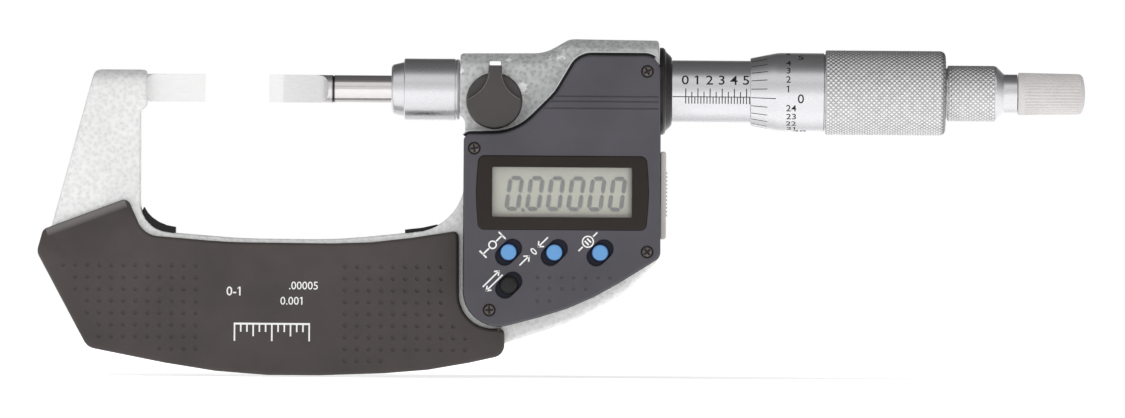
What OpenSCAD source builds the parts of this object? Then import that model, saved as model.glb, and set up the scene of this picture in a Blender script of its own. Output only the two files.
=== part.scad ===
// Digital blade outside micrometer, 0-1 inch (0-25.4 mm), non-rotating spindle.
// X runs along the spindle axis towards the thimble, Z is up, the display faces -Y.
// The origin is the middle of the anvil blade's measuring face.

/* [Measuring] */
// Gap between the measuring faces as stored, 0.525 inch
rest_gap = 13.335; // [12.7:0.635:14.605]
// Thickness of the two measuring blades
blade_t = 0.75; // [0.4:0.05:1]
// Radius of the spindle and the anvil shank
spindle_r = 2.9; // [2.8:0.05:2.95]
// Length of the carbide tips
tip_len = 3; // [2:0.5:4]

/* [Frame] */
// Half thickness of the frame's arm and bow
frame_hy = 4; // [3.9:0.1:4]
// Half thickness of the frame's head
head_hy = 7.6; // [7.5:0.05:7.6]
// Radius of the housing round the rotary encoder
encoder_r = 9.6; // [9.4:0.1:9.6]
// Thickness of the insulating covers' faces
insulator_t = 2.2; // [1.6:0.1:2.4]

/* [Housing] */
// Front face of the display housing
front_y = -13; // [-13.4:0.1:-12.9]
// Travel of the push buttons
button_travel = 0.5; // [0.3:0.05:0.5]
// Radius of the push buttons
button_r = 1.65; // [1.5:0.05:1.65]

/* [Thimble] */
// Outside radius of the graduated sleeve
sleeve_r = 6.5; // [6.4:0.05:6.5]
// Outside radius of the thimble's grip
thimble_r = 8.85; // [8.6:0.05:9]
// Outside radius of the ratchet's grip ring
ratchet_r = 5.85; // [5.6:0.05:6]
// Running clearance on the radius
clear = 0.03; // [0.02:0.005:0.05]

/* [Hidden] */
$fn = 72;
pitch = 0.635;
e = 0.02;
spin_x = rest_gap;              // the spindle's measuring face
button_y = front_y - 0.1;
clamp_c = [60.5, -2.3];
battery_c = [75.5, -23];
button_c = [[63.7, -33.85], [73.25, -33.85], [82.8, -33.85], [63.8, -40.7]];
screw_c = [[56.4, -12.2], [92.6, -33.6], [59.75, -45.95]];
top_screw_c = [92.4, 4.05];
rear_screw_c = [[58.4, -13.8], [90.8, -13.8], [91.2, -32.4], [61.2, -45.2]];
insulator_screw_c = [[-20, -42], [34, -46]];

// ---------- outlines in the XZ plane, each corner as [x, z, fillet radius] ----------
frame_path = [[-23.1, 3.75, 1.5], [-12.1, 3.75, 0.4], [-12.1, -4.15, 0.5], [-13.4, -4.4, 0.4],
    [-13.3, -29.75, 6.3], [8, -31.4, 100], [28, -31.5, 100], [54.4, -28.7, 11],
    [54.4, -6.3, 0.4], [53.3, -5.3, 0.3], [53.3, 7.6, 0.5], [71, 7.75, 8], [76.2, 10.75, 3], [94.9, 10.55, 0.4],
    [94.9, -35.4, 0.8], [88, -42.2, 25], [77, -48.3, 30], [61, -53.63, 8],
    [46.8, -57.5, 100], [8, -59.1, 140], [-23.3, -52.95, 2.2], [-33.35, -34.6, 1.5]];
insulator_path = [[-33.6, -29.75, 1.6], [-16, -23.1, 1.5], [-12.6, -30.8, 5], [5, -32.2, 100], [35, -32.35, 100],
    [53.25, -29.45, 0.9], [53.45, -52, 7.2], [62.95, -49.5, 0.2], [62.95, -55.4, 2.6], [47, -59, 100],
    [8, -60.6, 140], [-24.2, -54.35, 3], [-34.9, -34.5, 2.5]];
housing_path = [[54.3, -9.3, 1.4], [65.2, -9.05, 12], [73.5, -0.75, 10], [78.2, 7.3, 4.5], [95.05, 7.3, 3.2],
    [95.25, -34.7, 1.8], [79, -44.9, 60], [54.3, -51.55, 7.4]];
cavity_path = [[55.9, -10.9, 1], [93.7, -10.9, 1], [93.7, -33.6, 1], [78.7, -42.85, 55], [55.9, -49.3, 6]];
board_path = [[56.3, -11.3, 1], [93.2, -11.3, 1], [93.2, -33.2, 1], [78.5, -42.3, 55], [56.3, -48.5, 5.5]];
rear_path = [[54.6, -10.3, 1.4], [94.7, -10.3, 1.4], [94.7, -34.2, 1.5], [79, -44.1, 60], [54.6, -51, 7.4]];
window_path = [[57.3, -13.65, 1.4], [92.4, -13.65, 1.4], [93.05, -21.25, 40], [92.4, -29.2, 1.4],
    [57.3, -29.2, 1.4], [56.65, -21.25, 40]];
lever_path = [[59.35, 6.05, 0.3], [61.95, 6.05, 0.3], [62.15, 0.9, 5.5], [66.1, -2.2, 0], [66.4, -2.3, 0],
    [64.67, -6.47, 0], [60.5, -8.2, 0], [56.33, -6.47, 0], [54.6, -2.3, 0], [54.9, -1.9, 0], [58.9, 0.9, 4.5]];

function unit(v) = v / norm(v);
function near(a) = a > 180 ? a - 360 : a < -180 ? a + 360 : a;
function fillet(p, q, s, r) = r <= 0 ? [q] :
    let (a = unit(p - q), b = unit(s - q), h = acos(max(-1, min(1, a * b))) / 2,
         c = q + unit(a + b) * r / sin(h), u = q + a * r / tan(h) - c, w = q + b * r / tan(h) - c,
         a0 = atan2(u[1], u[0]), da = near(atan2(w[1], w[0]) - a0), n = max(2, ceil(abs(da) / 7)))
    [for (i = [0:n]) c + r * [cos(a0 + da * i / n), sin(a0 + da * i / n)]];
function rounded(p) = let (n = len(p)) [for (i = [0:n - 1])
    let (a = p[(i + n - 1) % n], b = p[i], c = p[(i + 1) % n])
    each fillet([a[0], a[1]], [b[0], b[1]], [c[0], c[1]], b[2])];

// ---------- shared shapes ----------
module slab(path, y0, y1) translate([0, y1, 0]) rotate([90, 0, 0]) linear_extrude(y1 - y0) polygon(rounded(path));
module block(x0, x1, y0, y1, z0, z1) translate([x0, y0, z0]) cube([x1 - x0, y1 - y0, z1 - z0]);
module xcyl(x0, x1, r) translate([x0, 0, 0]) rotate([0, 90, 0]) cylinder(h = x1 - x0, r = r);
module ycyl(c, y0, y1, r) translate([c[0], y1, c[1]]) rotate([90, 0, 0]) cylinder(h = y1 - y0, r = r);
module xturn(p) rotate([0, 90, 0]) rotate_extrude() polygon(p);
// flat ground on both sides of a shank, running out on a cutter's radius
module blade_cuts(x_end, x_run, dir) for (s = [-1, 1]) {
    block(min(x_end, x_run), max(x_end, x_run), s > 0 ? blade_t / 2 : -4, s > 0 ? 4 : -blade_t / 2, -4, 4);
    translate([x_run, s * (blade_t / 2 + 3.5), -4]) cylinder(h = 8, r = 3.5);
}
module cross_screw(c, y_head, y_tip, head_r, head_t, shank_r, dir) difference() {
    union() {
        ycyl(c, min(y_head, y_head + dir * head_t), max(y_head, y_head + dir * head_t), head_r);
        ycyl(c, min(y_head + dir * head_t, y_tip), max(y_head + dir * head_t, y_tip), shank_r);
    }
    for (a = [45, 135]) translate([c[0], y_head, c[1]]) rotate([0, a, 0])
        cube([head_r * 1.2, 0.9, 0.36], center = true);
}

// ---------- frame ----------
module frame() color("#c9cbc8") difference() {
    union() {
        intersection() {
            slab(frame_path, -frame_hy, frame_hy);
            union() {
                block(-50, 100, -frame_hy, frame_hy, -70, 0);
                xcyl(-30, -12, 3.95);
                block(30, 100, -frame_hy, frame_hy, -1, 12);
            }
        }
        intersection() {
            slab(frame_path, -head_hy, head_hy);
            union() {
                xcyl(53, 72, 9.2);
                translate([72, 0, 0]) rotate([0, 90, 0]) cylinder(h = 4, r1 = 9.2, r2 = 11.6);
                xcyl(76, 95, 11.6);
                block(53, 95, -head_hy, head_hy, -9.2, 0);
            }
            block(53, 95, -head_hy, head_hy, -9.2, 11);
        }
        xcyl(77.8, 94.9, encoder_r);
        ycyl(clamp_c, -7.75, 0, 6.2);
    }
    xcyl(-21, -12, spindle_r + 0.01);
    xcyl(53, 56.6, 5.61);
    xcyl(56.6 - e, 64.6, 6.3);
    xcyl(64.6 - e, 75, 4.61);
    xcyl(75 - e, 84, 4);
    xcyl(84 - e, 95, 8.4);
    ycyl(clamp_c, -8, -5.5, 1.93);
    ycyl(battery_c, -5, 5, 7.05);
    for (c = screw_c) ycyl(c, -5, -1.4, 0.8);
    ycyl(top_screw_c, -10, -7.7, 0.8);
    for (c = rear_screw_c) ycyl(c, 0.9, 5, 0.8);
    for (c = insulator_screw_c) ycyl(c, -5, 5, 0.95);
    block(91.9, 93.3, -7.2, -6.2, -10, -4.9);
}
module anvil() color("#d8d9da") difference() {
    xcyl(-21, -tip_len, spindle_r);
    blade_cuts(0, -9, -1);
}
module anvil_tip() color("#c8c9cb") intersection() {
    xcyl(-tip_len, 0, spindle_r);
    block(-tip_len, 0, -blade_t / 2, blade_t / 2, -4, 4);
}
module insulator_shell(s) {
    y_face = s * (frame_hy + insulator_t);
    difference() {
        slab(insulator_path, s > 0 ? 0.05 : y_face, s > 0 ? y_face : -0.05);
        slab(frame_path, -frame_hy, frame_hy);
    }
}
module front_insulator() color("#4b4644") difference() {
    insulator_shell(-1);
    // broad bevel along the slanted upper edge
    translate([-33.6, -frame_hy - insulator_t, -29.75]) rotate([0, -20.7, 0])
        translate([-3, 0, 0]) rotate([45, 0, 0]) translate([0, -2, -1.05]) cube([24, 4, 2.1]);
    for (c = insulator_screw_c) ycyl(c, -5.1, -3.9, 0.9);
}
module rear_insulator() color("#4b4644") difference() {
    union() {
        insulator_shell(1);
        // lips that hook over the frame's inner edge
        difference() {
            union() {
                slab([[-12.55, -25.1, 0], [-11.9, -26.2, 0], [-11, -27.1, 0], [-9.6, -28.1, 0], [-7.9, -28.8, 0],
                      [-6, -29.1, 0], [-6, -32.5, 0], [-14, -32.5, 0], [-15, -25.5, 0]], -3.6, frame_hy + insulator_t - 0.3);
                slab([[42, -29.35, 0], [48.5, -28.3, 0], [48.5, -31.8, 0], [42, -31.8, 0]], -3.6, frame_hy + insulator_t - 0.3);
            }
            slab(frame_path, -frame_hy - 1, frame_hy);
        }
    }
    for (c = insulator_screw_c) { ycyl(c, 3.9, 6.5, 0.95); ycyl(c, 5.2, 6.5, 1.6); }
}
module insulator_screws() color("#2a2624") for (c = insulator_screw_c) cross_screw(c, 6.1, -5, 1.5, 0.85, 0.89, -1);

// ---------- spindle guide and clamp ----------
module spindle_guide() color("#bfc1c4") difference() {
    xturn([[spindle_r + clear, 38.9], [4.75, 38.9], [5.05, 39.15], [5.7, 41.65], [6.4, 41.65], [6.5, 41.75],
           [6.5, 52.75], [6.2, 52.75], [6.2, 53.28], [5.59, 53.28], [5.59, 56.5], [spindle_r + clear, 56.5]]);
    block(44, 50, 2, 5, -0.6, 0.6);
    ycyl([47, 0], 5 - e, 7, 1.6);
}
module guide_key() color("#8f9297") block(44.05, 49.95, 2.2, 5, -0.58, 0.58);
module guide_key_screw() color("#2e2c2b") difference() {
    ycyl([47, 0], 5, 6.25, 1.58);
    block(45, 49, 5.7, 7, -0.2, 0.2);
}
module rear_guide_bush() color("#b08d4f") xturn([[spindle_r + clear, 65], [4.59, 65], [4.59, 75], [spindle_r + clear, 75]]);
module clamp_ring() color("#9a9da1") difference() {
    xturn([[spindle_r + 0.05, 57.2], [6.28, 57.2], [6.28, 63.8], [spindle_r + 0.05, 63.8]]);
    block(57, 64, 2, 7, -0.4, 0.4);
    block(59, 62, -7, -4, -3.7, -0.9);
}
module clamp_shaft() color("#8f9297") union() {
    ycyl(clamp_c, -10.6, -6.35, 1.9);
    ycyl(clamp_c + [0, 0.5], -6.35 - e, -4.2, 0.7);
}
module clamp_lever() color("#45403e") difference() {
    union() {
        ycyl(clamp_c, -9.9, -7.85, 5.9);
        slab(lever_path, -11.6, -7.9);
        intersection() { ycyl(clamp_c, -11.6, -9.8, 5.9); block(54, 67, -12, -9, -9, -2.1); }
    }
    ycyl(clamp_c, -10.6, -7, 1.9);
}

// ---------- spindle and screw ----------
module spindle() color("#d5d6d8") difference() {
    union() {
        xcyl(spin_x + tip_len, 26.75, spindle_r);
        xcyl(26.75 - e, 27 + e, spindle_r - 0.15);
        xcyl(27, 74, spindle_r);
    }
    blade_cuts(spin_x, 22.4, 1);
    block(31.3, 64.2, 2.1, 4, -0.62, 0.62);
    xcyl(65.4, 75, 1.7);
    for (s = [-1, 1]) ycyl([71, s * 1.45], -4, 4, 0.5);
}
module spindle_tip() color("#c8c9cb") intersection() {
    xcyl(spin_x, spin_x + tip_len, spindle_r);
    block(spin_x, spin_x + tip_len, -blade_t / 2, blade_t / 2, -4, 4);
}
module thrust_ball() color("#e0e0e2") translate([66.41, 0, 0]) sphere(r = 1);
module coupling_pins() color("#8f9297") for (s = [-1, 1]) ycyl([71, s * 1.45], -2.1, 2.1, 0.48);
module lead_screw() color("#b9bbbe") difference() {
    union() {
        xturn([[0, 67.45], [1.65, 67.45], [1.65, 70.45], [0.9, 70.45], [0.9, 71.55], [1.65, 71.55], [1.65, 74.1],
            [2.4, 74.1], [2.4, 106],
            for (i = [0:60]) each [[3.15, 106 + i * pitch], [3.5, 106 + (i + 0.5) * pitch]],
            [3.19, 145], [3.19, 148.6], [2.59, 154.9], [1.59, 154.9], [1.59, 160], [0, 160]]);
    }
    block(74, 106 - e, -0.5, 0.5, 1.7, 3);
}
module inner_sleeve() color("#a9abae") difference() {
    xturn([[4.2, 93.3], [8.35, 93.3], [8.35, 94.9], [5.6, 94.9], [5.6, 128.6], [5, 128.6], [5, 133.6],
           [3.5 + clear, 133.6], [3.5 + clear, 118.5], [4.2, 118.5]]);
    for (a = [30, 150, 270]) rotate([a, 0, 0]) block(124, 134, -0.25, 0.25, 2, 7);
}
module adjusting_nut() color("#86898d") difference() {
    xturn([[5.02, 129.3], [6.1, 129.3], [6.1, 133.6], [5.9, 133.8], [5.02, 133.8]]);
    for (a = [0, 90]) rotate([a, 0, 0]) block(132.8, 134, -7, 7, -0.6, 0.6);
}
module graduated_sleeve() color("#c4c6ca") difference() {
    xturn([[5.6, 97.6], [sleeve_r, 97.6], [sleeve_r, 128.5], [sleeve_r - 0.1, 128.6], [5.6, 128.6]]);
    ycyl([101, -1], 4, 8, 0.6);
}
module sleeve_collar() color("#1d1a19") xturn([[5.62, 94.95], [9.15, 94.95], [9.15, 95.8], [8.8, 96.1], [7.35, 97.3], [7.1, 97.58], [5.62, 97.58]]);

// ---------- encoder ----------
module encoder_stator() color("#3f6b45") xturn([[4.4, 92.1], [8.35, 92.1], [8.35, 93.28], [4.4, 93.28]]);
module encoder_rotor() color("#c79a3f") union() {
    xturn([[2.4 + clear, 86.3], [3.7, 86.3], [3.7, 90.6], [8, 90.6], [8, 91.6], [2.4 + clear, 91.6]]);
    block(86.3, 91.6, -0.45, 0.45, 1.78, 2.6);
}
module rotor_bearing() color("#b08d4f") xturn([[3.75, 86.6], [8.4, 86.6], [8.4, 89.6], [3.75, 89.6]]);
module encoder_flex() color("#b5651d") block(92.1, 93.1, -6.8, -6.65, -11.25, -5.06);

// ---------- thimble and ratchet ----------
module thimble() color("#c8cacd") xturn([[sleeve_r + 0.05, 113.95], [sleeve_r + 0.42, 113.95], [7, 114.05], [8.2, 119.8],
    [8.2, 129.45], [thimble_r - 0.35, 129.6], [thimble_r, 129.9], [thimble_r, 153.6],
    [thimble_r - 0.3, 154.35], [thimble_r - 1.1, 154.9], [2.6, 154.9], [3.2, 148.6], [6.9, 148.6], [6.9, 119], [sleeve_r + 0.05, 118.4]]);
module ratchet_base() color("#bcbec1") xturn([[1.6, 154.95], [ratchet_r - 0.2, 154.95], [ratchet_r, 155.15], [ratchet_r, 165.3],
    [4.35, 166.8], [4.1, 166.85], [4.1, 169.9], [3.2, 169.9], [3.2, 161], [1.2, 161], [1.2, 160.05], [1.6, 160.05]]);
module ratchet_screw() color("#8f9297") xturn([[0, 160.1], [1.19, 160.1], [1.19, 180.2], [2, 180.2], [2, 181.2], [0, 181.2]]);
// wire wound round the ratchet screw
module coil(x0, x1, r, wire, turns, seg) {
    n = turns * seg;
    pts = [for (i = [0:n]) for (k = [0:7])
        let (a = 360 * i / seg, b = 45 * k, q = r + wire * cos(b))
        [x0 + (x1 - x0) * i / n + wire * sin(b), q * cos(a), q * sin(a)]];
    faces = concat([[for (k = [7:-1:0]) k]], [[for (k = [0:7]) n * 8 + k]],
        [for (i = [0:n - 1]) for (k = [0:7]) [i * 8 + k, i * 8 + (k + 1) % 8, (i + 1) * 8 + (k + 1) % 8, (i + 1) * 8 + k]]);
    polyhedron(pts, faces, convexity = 10);
}
module ratchet_spring() color("#9a9da1") coil(161.35, 171.6, 2.1, 0.28, 7, 14);
module teeth(x0, depth, r0, r1) for (i = [0:11]) rotate([i * 30, 0, 0]) translate([x0, r0, 0]) rotate([0, 0, 0])
    linear_extrude(0.7, center = true) square([depth, r1 - r0]);
module ratchet_wheel() color("#a9abae") union() {
    xturn([[1.25, 171.95], [3.1, 171.95], [3.1, 174], [1.25, 174]]);
    teeth(174 - e, 0.5, 1.9, 3);
}
module ratchet_pawl() color("#a9abae") union() {
    xturn([[1.35, 175.2], [3.29, 175.2], [3.29, 176.18], [1.35, 176.18]]);
    teeth(174.6, 0.6 + e, 1.9, 3);
}
module ratchet_cap() color("#bdb9b3") difference() {
    xturn([[3.3, 169.95], [4.3, 169.95], [4.45, 170.1], [4.2, 182.9], [3.8, 183.5], [2, 183.95], [0, 184.1],
           [0, 181.6], [2.3, 181.6], [2.3, 180], [1.3, 180], [1.3, 176.2], [3.3, 176.2]]);
    for (i = [0:17]) rotate([i * 20 + 10, 0, 0]) block(171.4, 185, -0.16, 0.16, 4.12, 5);
}

// ---------- display housing ----------
module slot2(c, r, d, y0, y1) {
    ycyl(c + d * [0.7071, 0.7071], y0, y1, r);
    ycyl(c - d * [0.7071, 0.7071], y0, y1, r);
    translate([c[0], (y0 + y1) / 2, c[1]]) rotate([0, -45, 0]) cube([2 * d, y1 - y0, 2 * r], center = true);
}
module display_housing() color("#55555f") difference() {
    slab(housing_path, front_y, -4.5);
    difference() {
        slab(cavity_path, -11.4, -4.4);
        for (c = screw_c) ycyl(c, -12, -4, 2);
    }
    block(54, 96, -8, -4, -9.35, 8);
    xcyl(77, 96, encoder_r + 0.15);
    slab(window_path, -14, -12);
    block(58.5, 90.9, -12.5, -11, -28.1, -14.3);
    for (c = button_c) { slot2(c, 2.15, 1.13, -14, -12.1); ycyl(c, -13, -11, button_r + 0.07); }
    for (c = screw_c) { ycyl(c, -14, -12.1, 1.4); ycyl(c, -13, -4, 0.85); }
    ycyl(top_screw_c, -14, -12.1, 1.4);
    ycyl(top_screw_c, -13, -7, 0.85);
    for (z = [-1.2, -2.2, -3.7]) block(60, 96, -14, front_y + 0.22, z - 0.17, z + 0.17);
    block(93, 96, -10.2, -6.9, -29.8, -13.7);
    block(91.9, 93.3, -7.2, -6.2, -11.5, -9);
}
module housing_gasket() color("#141312") {
    difference() {
        intersection() { slab(housing_path, -4.48, -4.02); block(50, 100, -5, -4, -60, -9.4); }
        slab(cavity_path, -5, -4 + e);
        for (c = screw_c) ycyl(c, -5, -4 + e, 0.85);
    }
    difference() {
        intersection() { slab(housing_path, -7.97, -7.63); block(50, 100, -8, -7, -9.15, 8); }
        slab([[70.5, -7.7, 0], [93.4, -7.7, 0], [93.4, 5.7, 0], [79.7, 5.7, 0], [76, -0.5, 0]], -8.1, -7.5);
        xcyl(77, 96, encoder_r + 0.1);
        ycyl(top_screw_c, -9, -7, 0.85);
    }
}
module housing_screws() color("#2a2624") {
    for (c = screw_c) cross_screw(c, -12.95, -1.5, 1.3, 0.8, 0.79, 1);
    cross_screw(top_screw_c, -12.95, -7.78, 1.3, 0.8, 0.79, 1);
}
module display_window() color("#cfd8d6") slab(window_path, -13.12, -12.01);
module display_mask() color("#1c1816") difference() {
    slab(window_path, -12, -11.86);
    slab([[60.2, -15.95, 0.4], [89.6, -15.95, 0.4], [89.6, -26.45, 0.4], [60.2, -26.45, 0.4]], -13, -11);
    difference() { block(50, 100, -13, -11, -40, 0); block(58.55, 90.85, -14, -10, -28.05, -14.35); }
}
module lcd_panel() color("#a9ab98") block(58.6, 90.8, -11.82, -10.2, -28, -14.4);
module lcd_holder() color("#d9d9d4") difference() {
    block(58.3, 91.1, -10.18, -7.32, -28.3, -14.1);
    block(59.4, 90, -11, -7, -27.2, -15.2);
}
module contact_strips() color("#33302e") for (z = [-27.1, -16.3]) block(60, 89.4, -10.18, -7.32, z, z + 1);
module circuit_board() color("#2f6a44") difference() {
    slab(board_path, -7.3, -6.3);
    for (c = screw_c) ycyl(c, -9, -4, 2.2);
}
module board_components() color("#222222") {
    block(61, 68, -6.28, -5, -26, -19);
    block(84, 88, -6.28, -5.2, -24, -19);
    for (x = [60, 64, 68, 84, 88]) block(x, x + 1.6, -6.28, -5.5, -34, -33.2);
    ycyl([88, -29], -6.28, -4.9, 1.4);
}
module switch_domes() color("#c8c9cb") for (c = button_c) ycyl(c, -7.85, -7.32, 1.1);
module switch_boots() color("#2d2b2a") for (c = button_c) difference() {
    ycyl(c, -10.2, -7.32, 2.1);
    ycyl(c, -11, -7, 1.2);
}
module push_button(c) union() {
    ycyl(c, button_y, -11.3, button_r);
    ycyl(c, -11.32, -10.8, 2.15);
    ycyl(c, -10.82, -7.9 - button_travel, 1);
}
module origin_button() color("#3f86c8") push_button(button_c[0]);
module zero_button() color("#3f86c8") push_button(button_c[1]);
module hold_button() color("#3f86c8") push_button(button_c[2]);
module unit_button() color("#1b1a1a") push_button(button_c[3]);

// ---------- power, rear cover and data port ----------
module battery() color("#c9cacb") ycyl(battery_c, -1.5, 3.9, 5.8);
module battery_holder() color("#262423") difference() {
    ycyl(battery_c, -4, 4, 7.03);
    ycyl(battery_c, -1.7, 5, 5.85);
    ycyl(battery_c, -5, 0, 0.65);
}
module battery_contact() color("#c9a24a") union() {
    ycyl(battery_c, -1.68, -1.52, 2.5);
    ycyl(battery_c, -6.28, -1.6, 0.6);
}
module battery_cap() color("#3a3634") difference() {
    union() { ycyl(battery_c, 4.03, 5.5, 7); ycyl(battery_c, 5.5 - e, 6.8, 7.6); }
    translate([battery_c[0], 6.8, battery_c[1]]) rotate([0, 30, 0]) cube([9.5, 1.8, 1.5], center = true);
}
module battery_seal() color("#161514") translate([battery_c[0], 5, battery_c[1]]) rotate([90, 0, 0])
    rotate_extrude() translate([7.36, 0]) circle(r = 0.32, $fn = 24);
module rear_cover() color("#4b4846") difference() {
    slab(rear_path, 4.03, 6.2);
    ycyl(battery_c, 3, 7, 7.7);
    for (c = rear_screw_c) { ycyl(c, 3, 7, 0.85); ycyl(c, 5.2, 7, 1.4); }
}
module rear_cover_screws() color("#2a2624") for (c = rear_screw_c) cross_screw(c, 6.05, 1, 1.3, 0.8, 0.79, -1);
module data_connector() color("#262423") difference() {
    block(91.3, 93.7, -10.1, -7.33, -29.5, -14);
    block(92.3, 94, -9.4, -8.1, -28.5, -15);
}
module connector_pins() color("#c9a24a") for (i = [0:4]) block(92.3, 93.5, -9, -8.5, -27.1 + i * 2.55, -26.1 + i * 2.55);
module port_cover() color("#c3bfb8") union() {
    block(93.75, 95.32, -10.1, -7, -29.7, -13.8);
    block(95.3, 96.15, -11.4, -5.8, -31, -12.6);
    for (i = [0:11]) block(96.1, 96.75, -11, -6.2, -29.6 + i * 1.4, -28.9 + i * 1.4);
}

frame();
anvil();
anvil_tip();
front_insulator();
rear_insulator();
insulator_screws();
spindle_guide();
guide_key();
guide_key_screw();
rear_guide_bush();
clamp_ring();
clamp_shaft();
clamp_lever();
spindle();
spindle_tip();
thrust_ball();
coupling_pins();
lead_screw();
inner_sleeve();
adjusting_nut();
graduated_sleeve();
sleeve_collar();
encoder_stator();
encoder_rotor();
rotor_bearing();
encoder_flex();
thimble();
ratchet_base();
ratchet_screw();
ratchet_spring();
ratchet_wheel();
ratchet_cap();
ratchet_pawl();
display_housing();
housing_gasket();
housing_screws();
display_window();
display_mask();
lcd_panel();
lcd_holder();
contact_strips();
circuit_board();
board_components();
switch_domes();
switch_boots();
origin_button();
zero_button();
hold_button();
unit_button();
battery();
battery_holder();
battery_contact();
battery_cap();
battery_seal();
rear_cover();
rear_cover_screws();
data_connector();
connector_pins();
port_cover();
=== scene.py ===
import math

import bmesh
import bpy
import numpy as np
from mathutils import Matrix, Vector
from mathutils.geometry import delaunay_2d_cdt


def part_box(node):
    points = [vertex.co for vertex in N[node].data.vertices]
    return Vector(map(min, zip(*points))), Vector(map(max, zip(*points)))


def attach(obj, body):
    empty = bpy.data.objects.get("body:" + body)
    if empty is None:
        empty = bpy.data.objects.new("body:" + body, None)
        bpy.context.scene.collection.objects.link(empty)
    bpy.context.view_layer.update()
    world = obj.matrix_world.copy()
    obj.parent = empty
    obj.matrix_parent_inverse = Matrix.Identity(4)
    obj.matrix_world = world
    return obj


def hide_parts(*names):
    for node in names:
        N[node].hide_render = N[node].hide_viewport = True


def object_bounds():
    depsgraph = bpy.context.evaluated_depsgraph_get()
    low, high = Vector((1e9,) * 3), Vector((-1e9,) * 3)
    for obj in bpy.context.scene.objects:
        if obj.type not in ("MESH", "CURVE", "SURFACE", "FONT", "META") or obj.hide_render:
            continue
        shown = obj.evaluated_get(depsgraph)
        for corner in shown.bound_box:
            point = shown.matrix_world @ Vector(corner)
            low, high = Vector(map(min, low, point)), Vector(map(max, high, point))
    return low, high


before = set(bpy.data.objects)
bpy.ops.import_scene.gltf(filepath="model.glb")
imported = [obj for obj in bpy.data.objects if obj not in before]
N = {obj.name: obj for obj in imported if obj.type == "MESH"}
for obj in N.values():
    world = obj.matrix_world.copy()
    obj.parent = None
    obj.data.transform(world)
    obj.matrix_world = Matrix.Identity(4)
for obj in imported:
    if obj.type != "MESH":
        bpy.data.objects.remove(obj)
box_cad = [list(v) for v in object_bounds()]
MM = 0.001
FB = "frame_body"

# ------------------------------------------------------------------ outlines, in mm, as in the CAD source
FRAME = [[-23.1, 3.75, 1.5], [-12.1, 3.75, 0.4], [-12.1, -4.15, 0.5], [-13.4, -4.4, 0.4],
    [-13.3, -29.75, 6.3], [8, -31.4, 100], [28, -31.5, 100], [54.4, -28.7, 11],
    [54.4, -6.3, 0.4], [53.3, -5.3, 0.3], [53.3, 7.6, 0.5], [71, 7.75, 8], [76.2, 10.75, 3], [94.9, 10.55, 0.4],
    [94.9, -35.4, 0.8], [88, -42.2, 25], [77, -48.3, 30], [61, -53.63, 8],
    [46.8, -57.5, 100], [8, -59.1, 140], [-23.3, -52.95, 2.2], [-33.35, -34.6, 1.5]]
INSULATOR = [[-33.6, -29.75, 1.6], [-16, -23.1, 1.5], [-12.6, -30.8, 5], [5, -32.2, 100], [35, -32.35, 100],
    [53.25, -29.45, 1.1], [53.45, -52, 7.2], [62.95, -49.5, 1.2], [62.95, -55.4, 2.6], [47, -59, 100],
    [8, -60.6, 140], [-24.2, -54.35, 3], [-34.9, -34.5, 2.5]]
HOUSING = [[54.3, -9.3, 1.4], [65.2, -9.05, 12], [73.5, -0.75, 10], [78.2, 7.3, 4.5], [95.05, 7.3, 3.2],
    [95.25, -34.7, 1.8], [79, -44.9, 60], [54.3, -51.55, 7.4]]
CAVITY = [[55.9, -10.9, 1], [93.7, -10.9, 1], [93.7, -33.6, 1], [78.7, -42.85, 55], [55.9, -49.3, 6]]
WINDOW = [[57.3, -13.65, 1.4], [92.4, -13.65, 1.4], [93.05, -21.25, 40], [92.4, -29.2, 1.4],
    [57.3, -29.2, 1.4], [56.65, -21.25, 40]]
LCD = [[60.2, -16.1, 0.3], [89.35, -16.1, 0.3], [89.35, -26.55, 0.3], [60.2, -26.55, 0.3]]
REAR = [[54.6, -10.3, 1.4], [94.7, -10.3, 1.4], [94.7, -34.2, 1.5], [79, -44.1, 60], [54.6, -51, 7.4]]
LEVER = [[59.35, 6.05, 0.35], [61.95, 6.05, 0.35], [62.2, 0.7, 6], [66.1, -2.0, 0.25], [66.28, -3.4, 0],
    [65.4, -5.5, 0], [64.2, -6.78, 0], [62.6, -7.72, 0], [60.5, -8.1, 0], [58.4, -7.72, 0], [56.8, -6.78, 0],
    [55.6, -5.5, 0], [54.72, -3.4, 0], [54.9, -2.0, 0.25], [59.0, 0.7, 6]]
BUTTONS = [(63.7, -33.85), (73.25, -33.85), (82.8, -33.85), (63.8, -40.7)]
SCREWS = [(92.4, 4.05), (56.4, -12.2), (92.6, -33.6), (59.75, -45.95)]
REAR_SCREWS = [(58.4, -13.8), (90.8, -13.8), (91.2, -32.4), (61.2, -45.2)]
COVER_SCREWS = [(-20, -42), (34, -46)]
CLAMP = (60.5, -2.3)
BATTERY = (75.5, -23)
TILT = math.radians(-10)  # the index line stands a little below the front


def fillet(p, q, s, r):
    p, q, s = np.array(p[:2], float), np.array(q[:2], float), np.array(s[:2], float)
    if r <= 0:
        return [tuple(q)]
    a, b = (p - q) / np.linalg.norm(p - q), (s - q) / np.linalg.norm(s - q)
    h = math.acos(max(-1, min(1, float(a @ b)))) / 2
    m = (a + b) / np.linalg.norm(a + b)
    c = q + m * r / math.sin(h)
    u, w = q + a * r / math.tan(h) - c, q + b * r / math.tan(h) - c
    a0 = math.atan2(u[1], u[0])
    da = (math.atan2(w[1], w[0]) - a0 + math.pi) % (2 * math.pi) - math.pi
    n = max(2, math.ceil(abs(math.degrees(da)) / 6))
    return [(c[0] + r * math.cos(a0 + da * i / n), c[1] + r * math.sin(a0 + da * i / n)) for i in range(n + 1)]


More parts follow.
